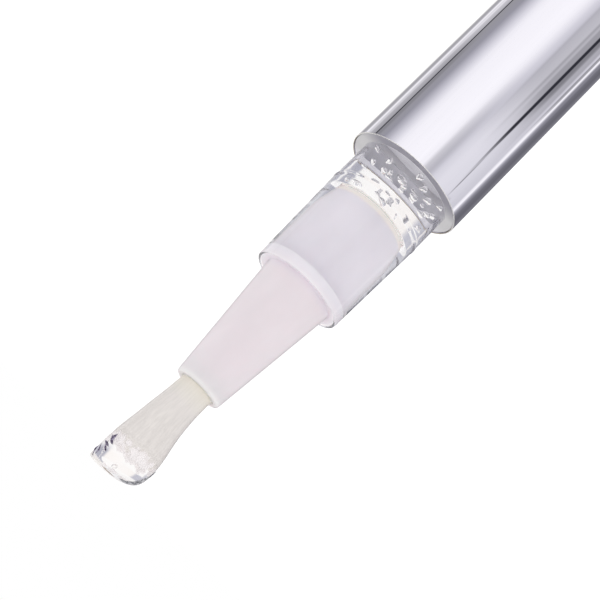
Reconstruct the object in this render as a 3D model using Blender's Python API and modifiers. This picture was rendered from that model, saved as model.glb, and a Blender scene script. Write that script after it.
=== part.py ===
"""Twist-feed dosing pen with a brush tip, standing on its flat rear end.

Metres, +Z up along the pen's axis towards the brush. The origin is the centre of the rear face.
The knob turns a flatted drive sleeve, the sleeve turns the feed screw in a fixed nut, and the
screw pushes the piston, which presses the gel through the brush holder into the bristles.
"""

import math
import random

import bmesh
import bpy
from mathutils import Matrix, Vector

# Gaps between pieces
PRESS_GAP = 0.0001
SEAT_GAP = 0.0002
RUNNING_GAP = 0.0001
THREAD_GAP = 0.00014
CUT_OVERRUN = 0.0006
SAME_POINT = 0.000001

# Steps around
BARREL_STEPS = 36
INNER_STEPS = 28
THREAD_STEPS = 12
SHARP_ANGLE = math.radians(35)

# Barrel sleeve
BARREL_DIAMETER = 0.0110
BARREL_LENGTH = 0.0780
BARREL_WALL = 0.00035
BARREL_EDGE = 0.00012

# Knob
KNOB_LENGTH = 0.0133
KNOB_JOINT_LINE = 0.0003
KNOB_CORE_WALL = 0.0009
KNOB_STEM_LENGTH = 0.0090
KNOB_WELL_TAPER = 0.0015

# Rear end plug
PLUG_FLANGE = 0.0009
PLUG_EDGE = 0.0002
PLUG_DEPTH = 0.0028
PLUG_WALL = 0.0008

# Reservoir body and its neck
RESERVOIR_WALL = 0.00075
REAR_BORE_STEP = 0.00015
BODY_REAR_INSET = 0.0006
SHOULDER_DEPTH = 0.0002
SHOULDER_WIDTH = 0.0006
SHOULDER_ROOT = 0.00012
FUNNEL_LENGTH = 0.0016
NECK_WALL = 0.0015
NECK_LENGTH = 0.0129
NECK_STRAIGHT = 0.0043
NECK_DRAFT = 0.00026
SNAP_BEAD_PLACE = 0.00365
SNAP_BEAD_WIDTH = 0.0007
SNAP_BEAD_HEIGHT = 0.00007
LIP_ROUND = 0.00025
HOLDER_SEAT_DEPTH = 0.0014
HOLDER_SEAT_STEP = 0.0008

# Brush holder
HOLDER_SKIRT_LENGTH = 0.0077
HOLDER_SKIRT_WALL = 0.0006
HOLDER_NOSE_LENGTH = 0.0020
HOLDER_NOSE_TAPER = 0.00035
HOLDER_NOSE_ROUND = 0.00015
HOLDER_FLANGE = 0.0009
HOLDER_LEDGE = 0.00028
CONE_LENGTH = 0.0117
CONE_TIP_DIAMETER = 0.0043
CONE_ROUND = 0.0003
CONE_WALL = 0.0006
CONE_WEB = 0.0009

# Bristle tuft, its collar and the feed tube
TUFT_DIAMETER = 0.0030
TUFT_ROOT_LENGTH = 0.0062
TUFT_ROOT_PROUD = 0.00015
BRISTLE_LENGTH = 0.0071
BRISTLE_THICKNESS = 0.000095
BRISTLE_SPACING = 0.000135
BRISTLE_SIDES = 3
BRISTLE_BURIED = 0.0003
FLARE_SHARE = 0.55
FLARE_POWER_SHARE = 1.45
DOME_SHARE = 0.13
RAGGED_SHARE = 0.08
BRISTLE_BEND_SHARES = (0.55, 1.0)
BRISTLE_TAPER_SHARE = 0.7
BRISTLE_SEED = 7
COLLAR_WALL = 0.00035
COLLAR_LENGTH = 0.0042
COLLAR_LIP = 0.0005
FEED_TUBE_DIAMETER = 0.0009
FEED_TUBE_WALL = 0.0002
FEED_TUBE_REACH = 0.0028

# Gel
BEAD_GAP = 0.00015
BEAD_DIAMETER = 0.0046
BEAD_LENGTH = 0.0023
BEAD_SKIRT = 0.0007
BEAD_ROUND = 0.0020
BEAD_EDGE = 0.0003
BEAD_STEPS = 5

# Piston
PISTON_LENGTH = 0.0062
PISTON_NOSE = 0.0008
PISTON_WEB = 0.0012
PISTON_LIP = 0.0011
PISTON_WAIST = 0.00035
PISTON_LIP_FLARE = 0.00012
PISTON_WALL = 0.0009
CLIP_LIP = 0.0006

# Feed screw
SCREW_DIAMETER = 0.0040
SCREW_CORE_DIAMETER = 0.0031
SCREW_FLAT_WIDTH = 0.0033
SCREW_LEAD = 0.0025
THREAD_FOOT_WIDTH = 0.0011
THREAD_CREST_WIDTH = 0.0005
FEED_TRAVEL = 0.0340
CLIP_HEAD_DIAMETER = 0.0034
CLIP_HEAD_LENGTH = 0.0016
CLIP_NECK_DIAMETER = 0.0022
CLIP_NECK_LENGTH = 0.0012
SCREW_TAIL_GAP = 0.0008
SCREW_GRIP_LEFT = 0.0040

# Nut, drive sleeve, ratchet and click ring
NUT_LENGTH = 0.0055
NUT_NOTCH_WIDTH = 0.0012
NUT_NOTCH_DEPTH = 0.0008
NUT_CHAMFER = 0.0003
NUT_TO_PISTON = 0.0008
DRIVE_WALL = 0.0007
DRIVE_GRIP_LENGTH = 0.0060
DRIVE_TO_NUT = 0.0006
DRIVE_SPLINE_WIDTH = 0.0010
DRIVE_SPLINE_COUNT = 4
DRIVE_ROOT_LENGTH = 0.0080
DRIVE_FLANGE_WALL = 0.0007
DRIVE_FLANGE_LENGTH = 0.0010
RATCHET_LENGTH = 0.0036
RATCHET_TO_STEM = 0.0012
RATCHET_TEETH = 14
RATCHET_WALL_SHARE = 0.30
RATCHET_TOOTH_SHARE = 0.24
CLICK_HUB_SHARE = 0.24
CLICK_ARM_SHARE = 0.26
CLICK_ARM_START = math.radians(10)
CLICK_ARM_SWEEP = math.radians(120)
CLICK_ARM_POINTS = 10
CLICK_ARM_COUNT = 2
SNAP_RING_LENGTH = 0.0008
SNAP_RING_WALL = 0.0007
SNAP_RING_GROOVE_SHARE = 0.5
SNAP_RING_GAP_ANGLE = math.radians(50)
SNAP_RING_POINTS = 28
SNAP_RING_INSET = 0.0016

# Heights along the pen, from the rear face up
KNOB_BOTTOM = PLUG_FLANGE + SEAT_GAP
KNOB_TOP = KNOB_BOTTOM + KNOB_LENGTH
BARREL_BOTTOM = KNOB_TOP + KNOB_JOINT_LINE
RIM = BARREL_BOTTOM + BARREL_LENGTH
BODY_BOTTOM = BARREL_BOTTOM + BODY_REAR_INSET
SHOULDER = RIM - SHOULDER_DEPTH
LIP_TOP = RIM + NECK_LENGTH
HOLDER_SEAT = LIP_TOP - HOLDER_SEAT_DEPTH
FLANGE_BOTTOM = HOLDER_SEAT + SEAT_GAP
FLANGE_TOP = FLANGE_BOTTOM + HOLDER_FLANGE
SKIRT_BOTTOM = FLANGE_BOTTOM - HOLDER_SKIRT_LENGTH
CONE_TOP = FLANGE_TOP + CONE_LENGTH
TUFT_TOP = CONE_TOP + TUFT_ROOT_PROUD
TUFT_BOTTOM = TUFT_TOP - TUFT_ROOT_LENGTH
BRISTLE_TOP = TUFT_TOP + BRISTLE_LENGTH
BEAD_BOTTOM = BRISTLE_TOP + BEAD_GAP
BEAD_TOP = BEAD_BOTTOM + BEAD_LENGTH

# Radii
BARREL_RADIUS = BARREL_DIAMETER / 2
BODY_RADIUS = BARREL_RADIUS - BARREL_WALL - PRESS_GAP
RESERVOIR_BORE = BODY_RADIUS - RESERVOIR_WALL
REAR_BORE = RESERVOIR_BORE + REAR_BORE_STEP
NECK_RADIUS = BODY_RADIUS - SHOULDER_WIDTH
LIP_RADIUS = NECK_RADIUS - NECK_DRAFT
NECK_BORE = NECK_RADIUS - NECK_WALL
HOLDER_SEAT_BORE = NECK_BORE + HOLDER_SEAT_STEP - PRESS_GAP
SKIRT_RADIUS = NECK_BORE - PRESS_GAP - NECK_DRAFT / 2
FLANGE_RADIUS = HOLDER_SEAT_BORE - PRESS_GAP
CONE_ROOT_RADIUS = FLANGE_RADIUS - HOLDER_LEDGE
CONE_TIP_RADIUS = CONE_TIP_DIAMETER / 2
TUFT_RADIUS = TUFT_DIAMETER / 2
MOUTH_BORE = TUFT_RADIUS + PRESS_GAP
COLLAR_BORE = TUFT_RADIUS + PRESS_GAP
COLLAR_RADIUS = COLLAR_BORE + COLLAR_WALL
COLLAR_SEAT_BORE = COLLAR_RADIUS + PRESS_GAP
FEED_TUBE_RADIUS = FEED_TUBE_DIAMETER / 2
FEED_HOLE = FEED_TUBE_RADIUS + PRESS_GAP
SCREW_RADIUS = SCREW_DIAMETER / 2
SCREW_CORE = SCREW_CORE_DIAMETER / 2
DRIVE_BORE = SCREW_RADIUS + RUNNING_GAP
DRIVE_RADIUS = DRIVE_BORE + DRIVE_WALL
KNOB_BORE = BARREL_RADIUS - BARREL_WALL
KNOB_CORE_RADIUS = KNOB_BORE - PRESS_GAP
STEM_RADIUS = REAR_BORE - RUNNING_GAP
STEM_BORE = DRIVE_RADIUS + PRESS_GAP
CORE_CAVITY = KNOB_CORE_RADIUS - KNOB_CORE_WALL
PLUG_SPIGOT = CORE_CAVITY - PRESS_GAP

# Heights of the mechanism
PLUG_TOP = PLUG_FLANGE + PLUG_DEPTH
SCREW_BOTTOM = PLUG_FLANGE + SCREW_TAIL_GAP
STEM_TOP = BODY_BOTTOM + KNOB_STEM_LENGTH
DRIVE_TOP = SCREW_BOTTOM + FEED_TRAVEL + SCREW_GRIP_LEFT
NUT_BOTTOM = DRIVE_TOP + DRIVE_TO_NUT
NUT_TOP = NUT_BOTTOM + NUT_LENGTH
PISTON_BOTTOM = NUT_TOP + NUT_TO_PISTON
PISTON_TOP = PISTON_BOTTOM + PISTON_LENGTH
CLIP_HEAD_BOTTOM = PISTON_BOTTOM + CLIP_LIP + RUNNING_GAP
SCREW_THREAD_TOP = CLIP_HEAD_BOTTOM - CLIP_NECK_LENGTH
SCREW_TOP = CLIP_HEAD_BOTTOM + CLIP_HEAD_LENGTH
RATCHET_BOTTOM = STEM_TOP + RATCHET_TO_STEM
RATCHET_TOP = RATCHET_BOTTOM + RATCHET_LENGTH
GEL_TOP = SHOULDER - FUNNEL_LENGTH - SHOULDER_DEPTH


def collection(name, hidden=False):
    made = bpy.data.collections.new(name)
    bpy.context.scene.collection.children.link(made)
    made.hide_render = hidden
    return made


def finish(name, color, roughness, metallic=0.0, transmission=0.0, ior=1.5):
    """A Principled material in the piece's own colour."""
    made = bpy.data.materials.new(name)
    made.use_nodes = True
    made.diffuse_color = (*color, 1.0)
    shader = made.node_tree.nodes["Principled BSDF"]
    shader.inputs["Base Color"].default_value = (*color, 1.0)
    shader.inputs["Roughness"].default_value = roughness
    shader.inputs["Metallic"].default_value = metallic
    shader.inputs["Transmission Weight"].default_value = transmission
    shader.inputs["IOR"].default_value = ior
    return made


def place(name, mesh, base, look, parent=None):
    """Adds an object at its height on the pen's axis, in the parts or, without a look, the cutters."""
    made = bpy.data.objects.new(name, mesh)
    made.location = (0, 0, base)
    if look is None:
        CUTTERS.objects.link(made)
        made.hide_render = True
        made.display_type = "WIRE"
        return made
    PARTS.objects.link(made)
    mesh.materials.append(look)
    if parent:
        made.parent = parent
        made.matrix_parent_inverse = Matrix.Translation(-parent.location)
    return made


def axis_empty(name, height, parent=None):
    made = bpy.data.objects.new(name, None)
    made.location = (0, 0, height)
    made.empty_display_size = BARREL_RADIUS
    PARTS.objects.link(made)
    if parent:
        made.parent = parent
        made.matrix_parent_inverse = Matrix.Translation(-parent.location)
    return made


def turned(name, profile, look, parent=None, steps=INNER_STEPS):
    """A turned piece. The profile is (radius, height) down the outer side, then up any bore."""
    base = min(height for _, height in profile)
    mesh = bpy.data.meshes.new(name)
    points = [(radius, 0, height - base) for radius, height in profile]
    edges = [(i, i + 1) for i in range(len(points) - 1)]
    if profile[0][0] or profile[-1][0]:
        edges.append((len(points) - 1, 0))
    mesh.from_pydata(points, edges, [])
    made = place(name, mesh, base, look, parent)
    screw = made.modifiers.new("Turn", "SCREW")
    screw.axis = "Z"
    screw.steps = screw.render_steps = steps
    screw.use_merge_vertices = True
    screw.merge_threshold = SAME_POINT
    return made


def cylinder(name, radius, bottom, top, look=None, parent=None, steps=INNER_STEPS):
    profile = [(0, top), (radius, top), (radius, bottom), (0, bottom)]
    return turned(name, profile, look, parent, steps)


def prism(name, outline, bottom, top, look=None, parent=None):
    """A flat outline of (x, y) points, counter-clockwise, raised from bottom to top."""
    shape = bmesh.new()
    face = shape.faces.new([shape.verts.new((x, y, 0)) for x, y in outline])
    raised = bmesh.ops.extrude_face_region(shape, geom=[face])["geom"]
    points = [item for item in raised if isinstance(item, bmesh.types.BMVert)]
    bmesh.ops.translate(shape, vec=(0, 0, top - bottom), verts=points)
    bmesh.ops.recalc_face_normals(shape, faces=shape.faces)
    mesh = bpy.data.meshes.new(name)
    shape.to_mesh(mesh)
    shape.free()
    return place(name, mesh, bottom, look, parent)


def box(name, size, centre, angle=0.0):
    """A cutter block, turned about the pen's axis."""
    shape = bmesh.new()
    bmesh.ops.create_cube(shape, size=1.0)
    bmesh.ops.scale(shape, vec=size, verts=shape.verts)
    bmesh.ops.translate(shape, vec=(centre[0], centre[1], 0), verts=shape.verts)
    bmesh.ops.rotate(shape, matrix=Matrix.Rotation(angle, 3, "Z"), verts=shape.verts)
    mesh = bpy.data.meshes.new(name)
    shape.to_mesh(mesh)
    shape.free()
    return place(name, mesh, centre[2], None)


def combine(piece, other, operation):
    step = piece.modifiers.new(other.name, "BOOLEAN")
    step.object = other
    step.operation = operation
    step.solver = "EXACT"


def cut(piece, *cutters):
    for cutter in cutters:
        combine(piece, cutter, "DIFFERENCE")


def join(piece, *others):
    for other in others:
        combine(piece, other, "UNION")


def keep_common(piece, other):
    combine(piece, other, "INTERSECT")


def polar(radius, angle):
    return radius * math.cos(angle), radius * math.sin(angle)


def flatted_outline(radius, half_flat, steps=INNER_STEPS):
    """A circle with two flats, facing +X and -X."""
    points = []
    for step in range(steps):
        x, y = polar(radius, 2 * math.pi * (step + 0.5) / steps)
        points.append((max(-half_flat, min(half_flat, x)), y))
    return points


def thread_blank(name, core, crest, foot_width, crest_width, bottom, top, look=None, parent=None):
    """A screw thread longer than asked at both ends, closed with a point beyond each."""
    turns = math.ceil((top - bottom) / SCREW_LEAD) + 3
    middle = SCREW_LEAD / 2
    profile = [
        (core, SCREW_LEAD),
        (core, middle + foot_width / 2),
        (crest, middle + crest_width / 2),
        (crest, middle - crest_width / 2),
        (core, middle - foot_width / 2),
        (core, 0),
    ]
    edges = [(i, i + 1) for i in range(len(profile) - 1)]
    mesh = bpy.data.meshes.new(name)
    mesh.from_pydata([(radius, 0, height) for radius, height in profile], edges, [])
    maker = bpy.data.objects.new(name + "_maker", mesh)
    CUTTERS.objects.link(maker)
    screw = maker.modifiers.new("Thread", "SCREW")
    screw.axis = "Z"
    screw.steps = screw.render_steps = THREAD_STEPS
    screw.iterations = turns
    screw.screw_offset = SCREW_LEAD
    screw.use_merge_vertices = True
    screw.merge_threshold = SAME_POINT
    graph = bpy.context.evaluated_depsgraph_get()
    wound = bpy.data.meshes.new_from_object(maker.evaluated_get(graph))
    bpy.data.objects.remove(maker)
    shape = bmesh.new()
    shape.from_mesh(wound)
    bmesh.ops.remove_doubles(shape, verts=shape.verts, dist=SAME_POINT)
    middle_height = turns * SCREW_LEAD / 2
    rims = [edge for edge in shape.edges if edge.is_boundary]
    for end in (-1, 1):
        tip = shape.verts.new((0, 0, middle_height * (1 + end) + end * SCREW_LEAD))
        for edge in rims:
            if (edge.verts[0].co.z > middle_height) == (end > 0):
                shape.faces.new((*edge.verts, tip))
    bmesh.ops.recalc_face_normals(shape, faces=shape.faces)
    shape.to_mesh(wound)
    shape.free()
    # A whole number of leads under bottom, so that every thread is in step with every other
    base = (math.floor(bottom / SCREW_LEAD) - 1) * SCREW_LEAD
    return place(name, wound, base, look, parent)


def make_barrel():
    rim_inner = BARREL_RADIUS - BARREL_WALL
    profile = [
        (rim_inner + BARREL_EDGE / 2, RIM),
        (BARREL_RADIUS - BARREL_EDGE, RIM),
        (BARREL_RADIUS, RIM - BARREL_EDGE),
        (BARREL_RADIUS, BARREL_BOTTOM + BARREL_EDGE),
        (BARREL_RADIUS - BARREL_EDGE, BARREL_BOTTOM),
        (rim_inner, BARREL_BOTTOM),
        (rim_inner, RIM - BARREL_EDGE / 2),
    ]
    look = finish("anodised_barrel", (0.86, 0.85, 0.89), 0.12, metallic=1.0)
    return turned("barrel_sleeve", profile, look, steps=BARREL_STEPS)


def make_reservoir():
    bead_low = RIM + SNAP_BEAD_PLACE - SNAP_BEAD_WIDTH / 2
    bead_high = RIM + SNAP_BEAD_PLACE + SNAP_BEAD_WIDTH / 2
    straight_top = RIM + NECK_STRAIGHT
    draft_per_length = NECK_DRAFT / (LIP_TOP - straight_top)
    round_bottom = LIP_TOP - LIP_ROUND
    nut_seat = NUT_TOP + SEAT_GAP
    profile = [
        (HOLDER_SEAT_BORE, LIP_TOP - LIP_ROUND / 2),
        (LIP_RADIUS - LIP_ROUND, LIP_TOP),
        (LIP_RADIUS + draft_per_length * LIP_ROUND, round_bottom),
        (NECK_RADIUS, straight_top),
        (NECK_RADIUS, bead_high),
        (NECK_RADIUS + SNAP_BEAD_HEIGHT, RIM + SNAP_BEAD_PLACE),
        (NECK_RADIUS, bead_low),
        (NECK_RADIUS, SHOULDER + SHOULDER_ROOT),
        (NECK_RADIUS + SHOULDER_ROOT, SHOULDER),
        (BODY_RADIUS - SHOULDER_ROOT, SHOULDER),
        (BODY_RADIUS, SHOULDER - SHOULDER_ROOT),
        (BODY_RADIUS, BODY_BOTTOM),
        (REAR_BORE, BODY_BOTTOM),
        (REAR_BORE, nut_seat),
        (RESERVOIR_BORE, nut_seat),
        (RESERVOIR_BORE, SHOULDER - FUNNEL_LENGTH),
        (NECK_BORE, SHOULDER),
        (NECK_BORE, SKIRT_BOTTOM - LIP_ROUND),
        (SKIRT_RADIUS + PRESS_GAP, SKIRT_BOTTOM + LIP_ROUND),
        (SKIRT_RADIUS + PRESS_GAP, HOLDER_SEAT),
        (HOLDER_SEAT_BORE, HOLDER_SEAT),
    ]
    look = finish("clear_moulding", (0.93, 0.95, 0.96), 0.08, transmission=0.9, ior=1.52)
    body = turned("reservoir_body", profile, look, steps=BARREL_STEPS)
    groove_middle = STEM_TOP - SNAP_RING_INSET
    groove_half = SNAP_RING_LENGTH / 2 + SEAT_GAP
    groove_depth = SNAP_RING_WALL * (1 - SNAP_RING_GROOVE_SHARE) + RUNNING_GAP
    groove_floor = REAR_BORE + min(groove_depth, RESERVOIR_WALL / 2)
    groove = [
        (groove_floor, groove_middle + groove_half),
        (groove_floor, groove_middle - groove_half),
        (STEM_RADIUS, groove_middle - groove_half),
        (STEM_RADIUS, groove_middle + groove_half),
    ]
    cut(body, turned("snap_ring_groove", groove, None, steps=BARREL_STEPS))
    return body


def make_brush_holder():
    slope = (CONE_ROOT_RADIUS - CONE_TIP_RADIUS) / CONE_LENGTH
    collar_seat = TUFT_BOTTOM + COLLAR_LENGTH
    nose_radius = SKIRT_RADIUS - HOLDER_NOSE_TAPER
    cavity = nose_radius - HOLDER_SKIRT_WALL
    passage = max(COLLAR_SEAT_BORE, min(cavity, CONE_ROOT_RADIUS - CONE_WALL * 2))
    web_bottom = FLANGE_BOTTOM - CONE_WEB
    round_inset = CONE_ROUND * (1 - math.sin(math.pi / 4))
    profile = [
        (CONE_TIP_RADIUS - CONE_ROUND, CONE_TOP),
        (CONE_TIP_RADIUS - round_inset, CONE_TOP - round_inset),
        (CONE_TIP_RADIUS + slope * CONE_ROUND, CONE_TOP - CONE_ROUND),
        (CONE_ROOT_RADIUS, FLANGE_TOP),
        (FLANGE_RADIUS, FLANGE_TOP),
        (FLANGE_RADIUS, FLANGE_BOTTOM),
        (SKIRT_RADIUS, FLANGE_BOTTOM),
        (SKIRT_RADIUS, SKIRT_BOTTOM + HOLDER_NOSE_LENGTH),
        (nose_radius, SKIRT_BOTTOM + HOLDER_NOSE_ROUND),
        (nose_radius - HOLDER_NOSE_ROUND, SKIRT_BOTTOM),
        (cavity, SKIRT_BOTTOM),
        (cavity, web_bottom),
        (passage, FLANGE_TOP),
        (COLLAR_SEAT_BORE, TUFT_BOTTOM - SEAT_GAP),
        (COLLAR_SEAT_BORE, collar_seat + SEAT_GAP),
        (MOUTH_BORE, collar_seat + SEAT_GAP),
        (MOUTH_BORE, CONE_TOP),
    ]
    look = finish("frosted_moulding", (0.82, 0.79, 0.80), 0.45, transmission=0.35, ior=1.5)
    return turned("brush_holder", profile, look, steps=BARREL_STEPS)


def make_tuft_collar():
    seat = TUFT_BOTTOM + COLLAR_LENGTH
    profile = [
        (COLLAR_RADIUS, seat),
        (COLLAR_RADIUS, TUFT_BOTTOM - COLLAR_LIP),
        (FEED_HOLE, TUFT_BOTTOM - COLLAR_LIP),
        (FEED_HOLE, TUFT_BOTTOM - SEAT_GAP / 2),
        (COLLAR_BORE, TUFT_BOTTOM - SEAT_GAP / 2),
        (COLLAR_BORE, seat),
    ]
    look = finish("collar_moulding", (0.88, 0.85, 0.76), 0.4)
    return turned("tuft_collar", profile, look)


def make_feed_tube():
    top = TUFT_TOP + FEED_TUBE_REACH
    bottom = TUFT_BOTTOM - COLLAR_LENGTH / 2
    bore = FEED_TUBE_RADIUS - FEED_TUBE_WALL
    profile = [(FEED_TUBE_RADIUS, top), (FEED_TUBE_RADIUS, bottom), (bore, bottom), (bore, top)]
    look = finish("feed_tube_plastic", (0.88, 0.88, 0.86), 0.3)
    return turned("feed_tube", profile, look, steps=THREAD_STEPS)


def bristle_roots():
    """Root points on rings around the feed tube, one spacing apart."""
    first = FEED_HOLE + BRISTLE_SPACING / 2
    last = TUFT_RADIUS - BRISTLE_THICKNESS / 2
    rings = int((last - first) / BRISTLE_SPACING) + 1
    for ring in range(rings):
        radius = last - ring * (last - first) / max(rings - 1, 1)
        count = int(2 * math.pi * radius / BRISTLE_SPACING)
        for step in range(count):
            yield polar(radius, 2 * math.pi * (step + ring * 0.5) / count)


def make_tuft():
    """The bonded root with its bristles, which spread in proportion, so that none crosses another."""
    pick = random.Random(BRISTLE_SEED)
    look = finish("bristle_fibre", (0.84, 0.82, 0.78), 0.5)
    root = [
        (TUFT_RADIUS, TUFT_TOP),
        (TUFT_RADIUS, TUFT_BOTTOM),
        (FEED_HOLE, TUFT_BOTTOM),
        (FEED_HOLE, TUFT_TOP),
    ]
    tuft = turned("brush_tuft", root, look)
    shape = bmesh.new()
    for x, y in bristle_roots():
        out = math.hypot(x, y) / TUFT_RADIUS
        reach = BRISTLE_LENGTH * (1 - DOME_SHARE * out**2 - RAGGED_SHARE * pick.random())
        start = Matrix.Translation((x, y, -BRISTLE_BURIED)) @ Matrix.Rotation(math.atan2(y, x), 4, "Z")
        circle = bmesh.ops.create_circle(
            shape, cap_ends=True, segments=BRISTLE_SIDES, radius=BRISTLE_THICKNESS / 2, matrix=start
        )
        ring = circle["verts"]
        face = ring[0].link_faces[0]
        centre = Vector((x, y, -BRISTLE_BURIED))
        for share in BRISTLE_BEND_SHARES:
            height = reach * share
            spread = 1 + FLARE_SHARE * (height / BRISTLE_LENGTH) ** FLARE_POWER_SHARE
            goal = Vector((x * spread, y * spread, height))
            raised = bmesh.ops.extrude_face_region(shape, geom=[face])["geom"]
            if centre.z > 0:
                bmesh.ops.delete(shape, geom=[face], context="FACES_ONLY")
            ring = [item for item in raised if isinstance(item, bmesh.types.BMVert)]
            face = next(item for item in raised if isinstance(item, bmesh.types.BMFace))
            for point in ring:
                point.co = goal + (point.co - centre)
            centre = goal
        for point in ring:
            point.co = centre + (point.co - centre) * BRISTLE_TAPER_SHARE
    bmesh.ops.recalc_face_normals(shape, faces=shape.faces)
    mesh = bpy.data.meshes.new("bristles")
    shape.to_mesh(mesh)
    shape.free()
    join(tuft, place("bristles", mesh, TUFT_TOP, None))
    return tuft


def make_gel():
    look = finish("clear_gel", (0.95, 0.95, 0.93), 0.03, transmission=0.95, ior=1.40)
    charge_radius = RESERVOIR_BORE - PRESS_GAP
    neck_radius = NECK_BORE - PRESS_GAP
    charge = [
        (0, GEL_TOP),
        (charge_radius, GEL_TOP),
        (charge_radius, PISTON_TOP - PISTON_NOSE + SEAT_GAP),
        (charge_radius - PISTON_NOSE, PISTON_TOP + SEAT_GAP),
        (0, PISTON_TOP + SEAT_GAP),
    ]
    turned("gel_charge", charge, look)
    neck_top = SKIRT_BOTTOM - SEAT_GAP
    in_neck = [
        (0, neck_top),
        (neck_radius - LIP_ROUND, neck_top),
        (neck_radius, neck_top - LIP_ROUND),
        (neck_radius, SHOULDER),
        (RESERVOIR_BORE - PRESS_GAP - PRESS_GAP, GEL_TOP + PRESS_GAP + PRESS_GAP),
        (0, GEL_TOP + PRESS_GAP + PRESS_GAP),
    ]
    turned("gel_neck", in_neck, look, steps=BARREL_STEPS)
    radius = BEAD_DIAMETER / 2
    rim = BEAD_BOTTOM - BEAD_SKIRT
    bead = [
        (0, BEAD_TOP),
        (radius - BEAD_EDGE, BEAD_TOP),
        (radius, BEAD_TOP - BEAD_EDGE),
        (radius, rim),
        (radius - BEAD_EDGE, rim),
        (radius / 2, BEAD_BOTTOM - BEAD_SKIRT / 4),
        (0, BEAD_BOTTOM),
    ]
    tip = turned("gel_tip", bead, look)
    keep_common(tip, round_front_block(radius, rim))
    return tip


def round_front_block(radius, bottom):
    """A block over the bead, with a large round along the edge that faces -X."""
    reach = radius + CUT_OVERRUN
    under = bottom - CUT_OVERRUN
    over = BEAD_TOP + CUT_OVERRUN
    outline = [(reach, under), (reach, over), (BEAD_ROUND - radius, over)]
    for step in range(BEAD_STEPS + 1):
        x, z = polar(BEAD_ROUND, math.pi / 2 * (1 + step / BEAD_STEPS))
        outline.append((x + BEAD_ROUND - radius, z + BEAD_TOP - BEAD_ROUND))
    outline.append((-radius, under))
    shape = bmesh.new()
    face = shape.faces.new([shape.verts.new((x, -reach, z - bottom)) for x, z in outline])
    raised = bmesh.ops.extrude_face_region(shape, geom=[face])["geom"]
    points = [item for item in raised if isinstance(item, bmesh.types.BMVert)]
    bmesh.ops.translate(shape, vec=(0, 2 * reach, 0), verts=points)
    bmesh.ops.recalc_face_normals(shape, faces=shape.faces)
    mesh = bpy.data.meshes.new("bead_front")
    shape.to_mesh(mesh)
    shape.free()
    return place("bead_front", mesh, bottom, None)


def make_piston():
    outer = RESERVOIR_BORE - PRESS_GAP
    waist = outer - PISTON_WAIST
    lip = PISTON_LIP
    neck_hole = CLIP_NECK_DIAMETER / 2 + RUNNING_GAP
    pocket = CLIP_HEAD_DIAMETER / 2 + RUNNING_GAP
    pocket_bottom = PISTON_BOTTOM + CLIP_LIP
    pocket_top = SCREW_TOP + RUNNING_GAP
    hub = pocket + PISTON_WALL / 2
    skirt = waist - PISTON_WALL
    web = PISTON_TOP - PISTON_NOSE - PISTON_WEB
    profile = [
        (0, PISTON_TOP),
        (outer - PISTON_NOSE, PISTON_TOP),
        (outer, PISTON_TOP - PISTON_NOSE),
        (outer, PISTON_TOP - PISTON_NOSE - lip),
        (waist, PISTON_TOP - PISTON_NOSE - lip - PISTON_WAIST),
        (waist, PISTON_BOTTOM + lip + PISTON_WAIST),
        (outer, PISTON_BOTTOM + lip),
        (outer - PISTON_LIP_FLARE, PISTON_BOTTOM),
        (skirt + PISTON_LIP_FLARE, PISTON_BOTTOM),
        (skirt, web),
        (hub, web),
        (hub, PISTON_BOTTOM),
        (neck_hole + CLIP_LIP / 2, PISTON_BOTTOM),
        (neck_hole, PISTON_BOTTOM + CLIP_LIP / 2),
        (neck_hole, pocket_bottom),
        (pocket, pocket_bottom),
        (pocket, pocket_top),
        (0, pocket_top),
    ]
    look = finish("piston_moulding", (0.90, 0.90, 0.88), 0.35)
    return turned("piston", profile, look, PISTON_AXIS)


def make_feed_screw():
    look = finish("feed_screw_moulding", (0.88, 0.88, 0.86), 0.3)
    crest = SCREW_RADIUS
    screw = thread_blank(
        "feed_screw", SCREW_CORE, crest, THREAD_FOOT_WIDTH, THREAD_CREST_WIDTH,
        SCREW_BOTTOM, SCREW_THREAD_TOP, look, SCREW_AXIS,
    )
    half_flat = SCREW_FLAT_WIDTH / 2
    outline = flatted_outline(crest + CUT_OVERRUN, half_flat)
    keep_common(screw, prism("screw_flats", outline, SCREW_BOTTOM, SCREW_THREAD_TOP))
    head = [
        (0, SCREW_TOP),
        (CLIP_HEAD_DIAMETER / 2 - CLIP_HEAD_LENGTH / 2, SCREW_TOP),
        (CLIP_HEAD_DIAMETER / 2, CLIP_HEAD_BOTTOM + CLIP_HEAD_LENGTH / 2),
        (CLIP_HEAD_DIAMETER / 2, CLIP_HEAD_BOTTOM),
        (CLIP_NECK_DIAMETER / 2, CLIP_HEAD_BOTTOM),
        (CLIP_NECK_DIAMETER / 2, SCREW_THREAD_TOP - CUT_OVERRUN),
        (0, SCREW_THREAD_TOP - CUT_OVERRUN),
    ]
    join(screw, turned("screw_head", head, None, steps=THREAD_STEPS))
    return screw


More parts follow.
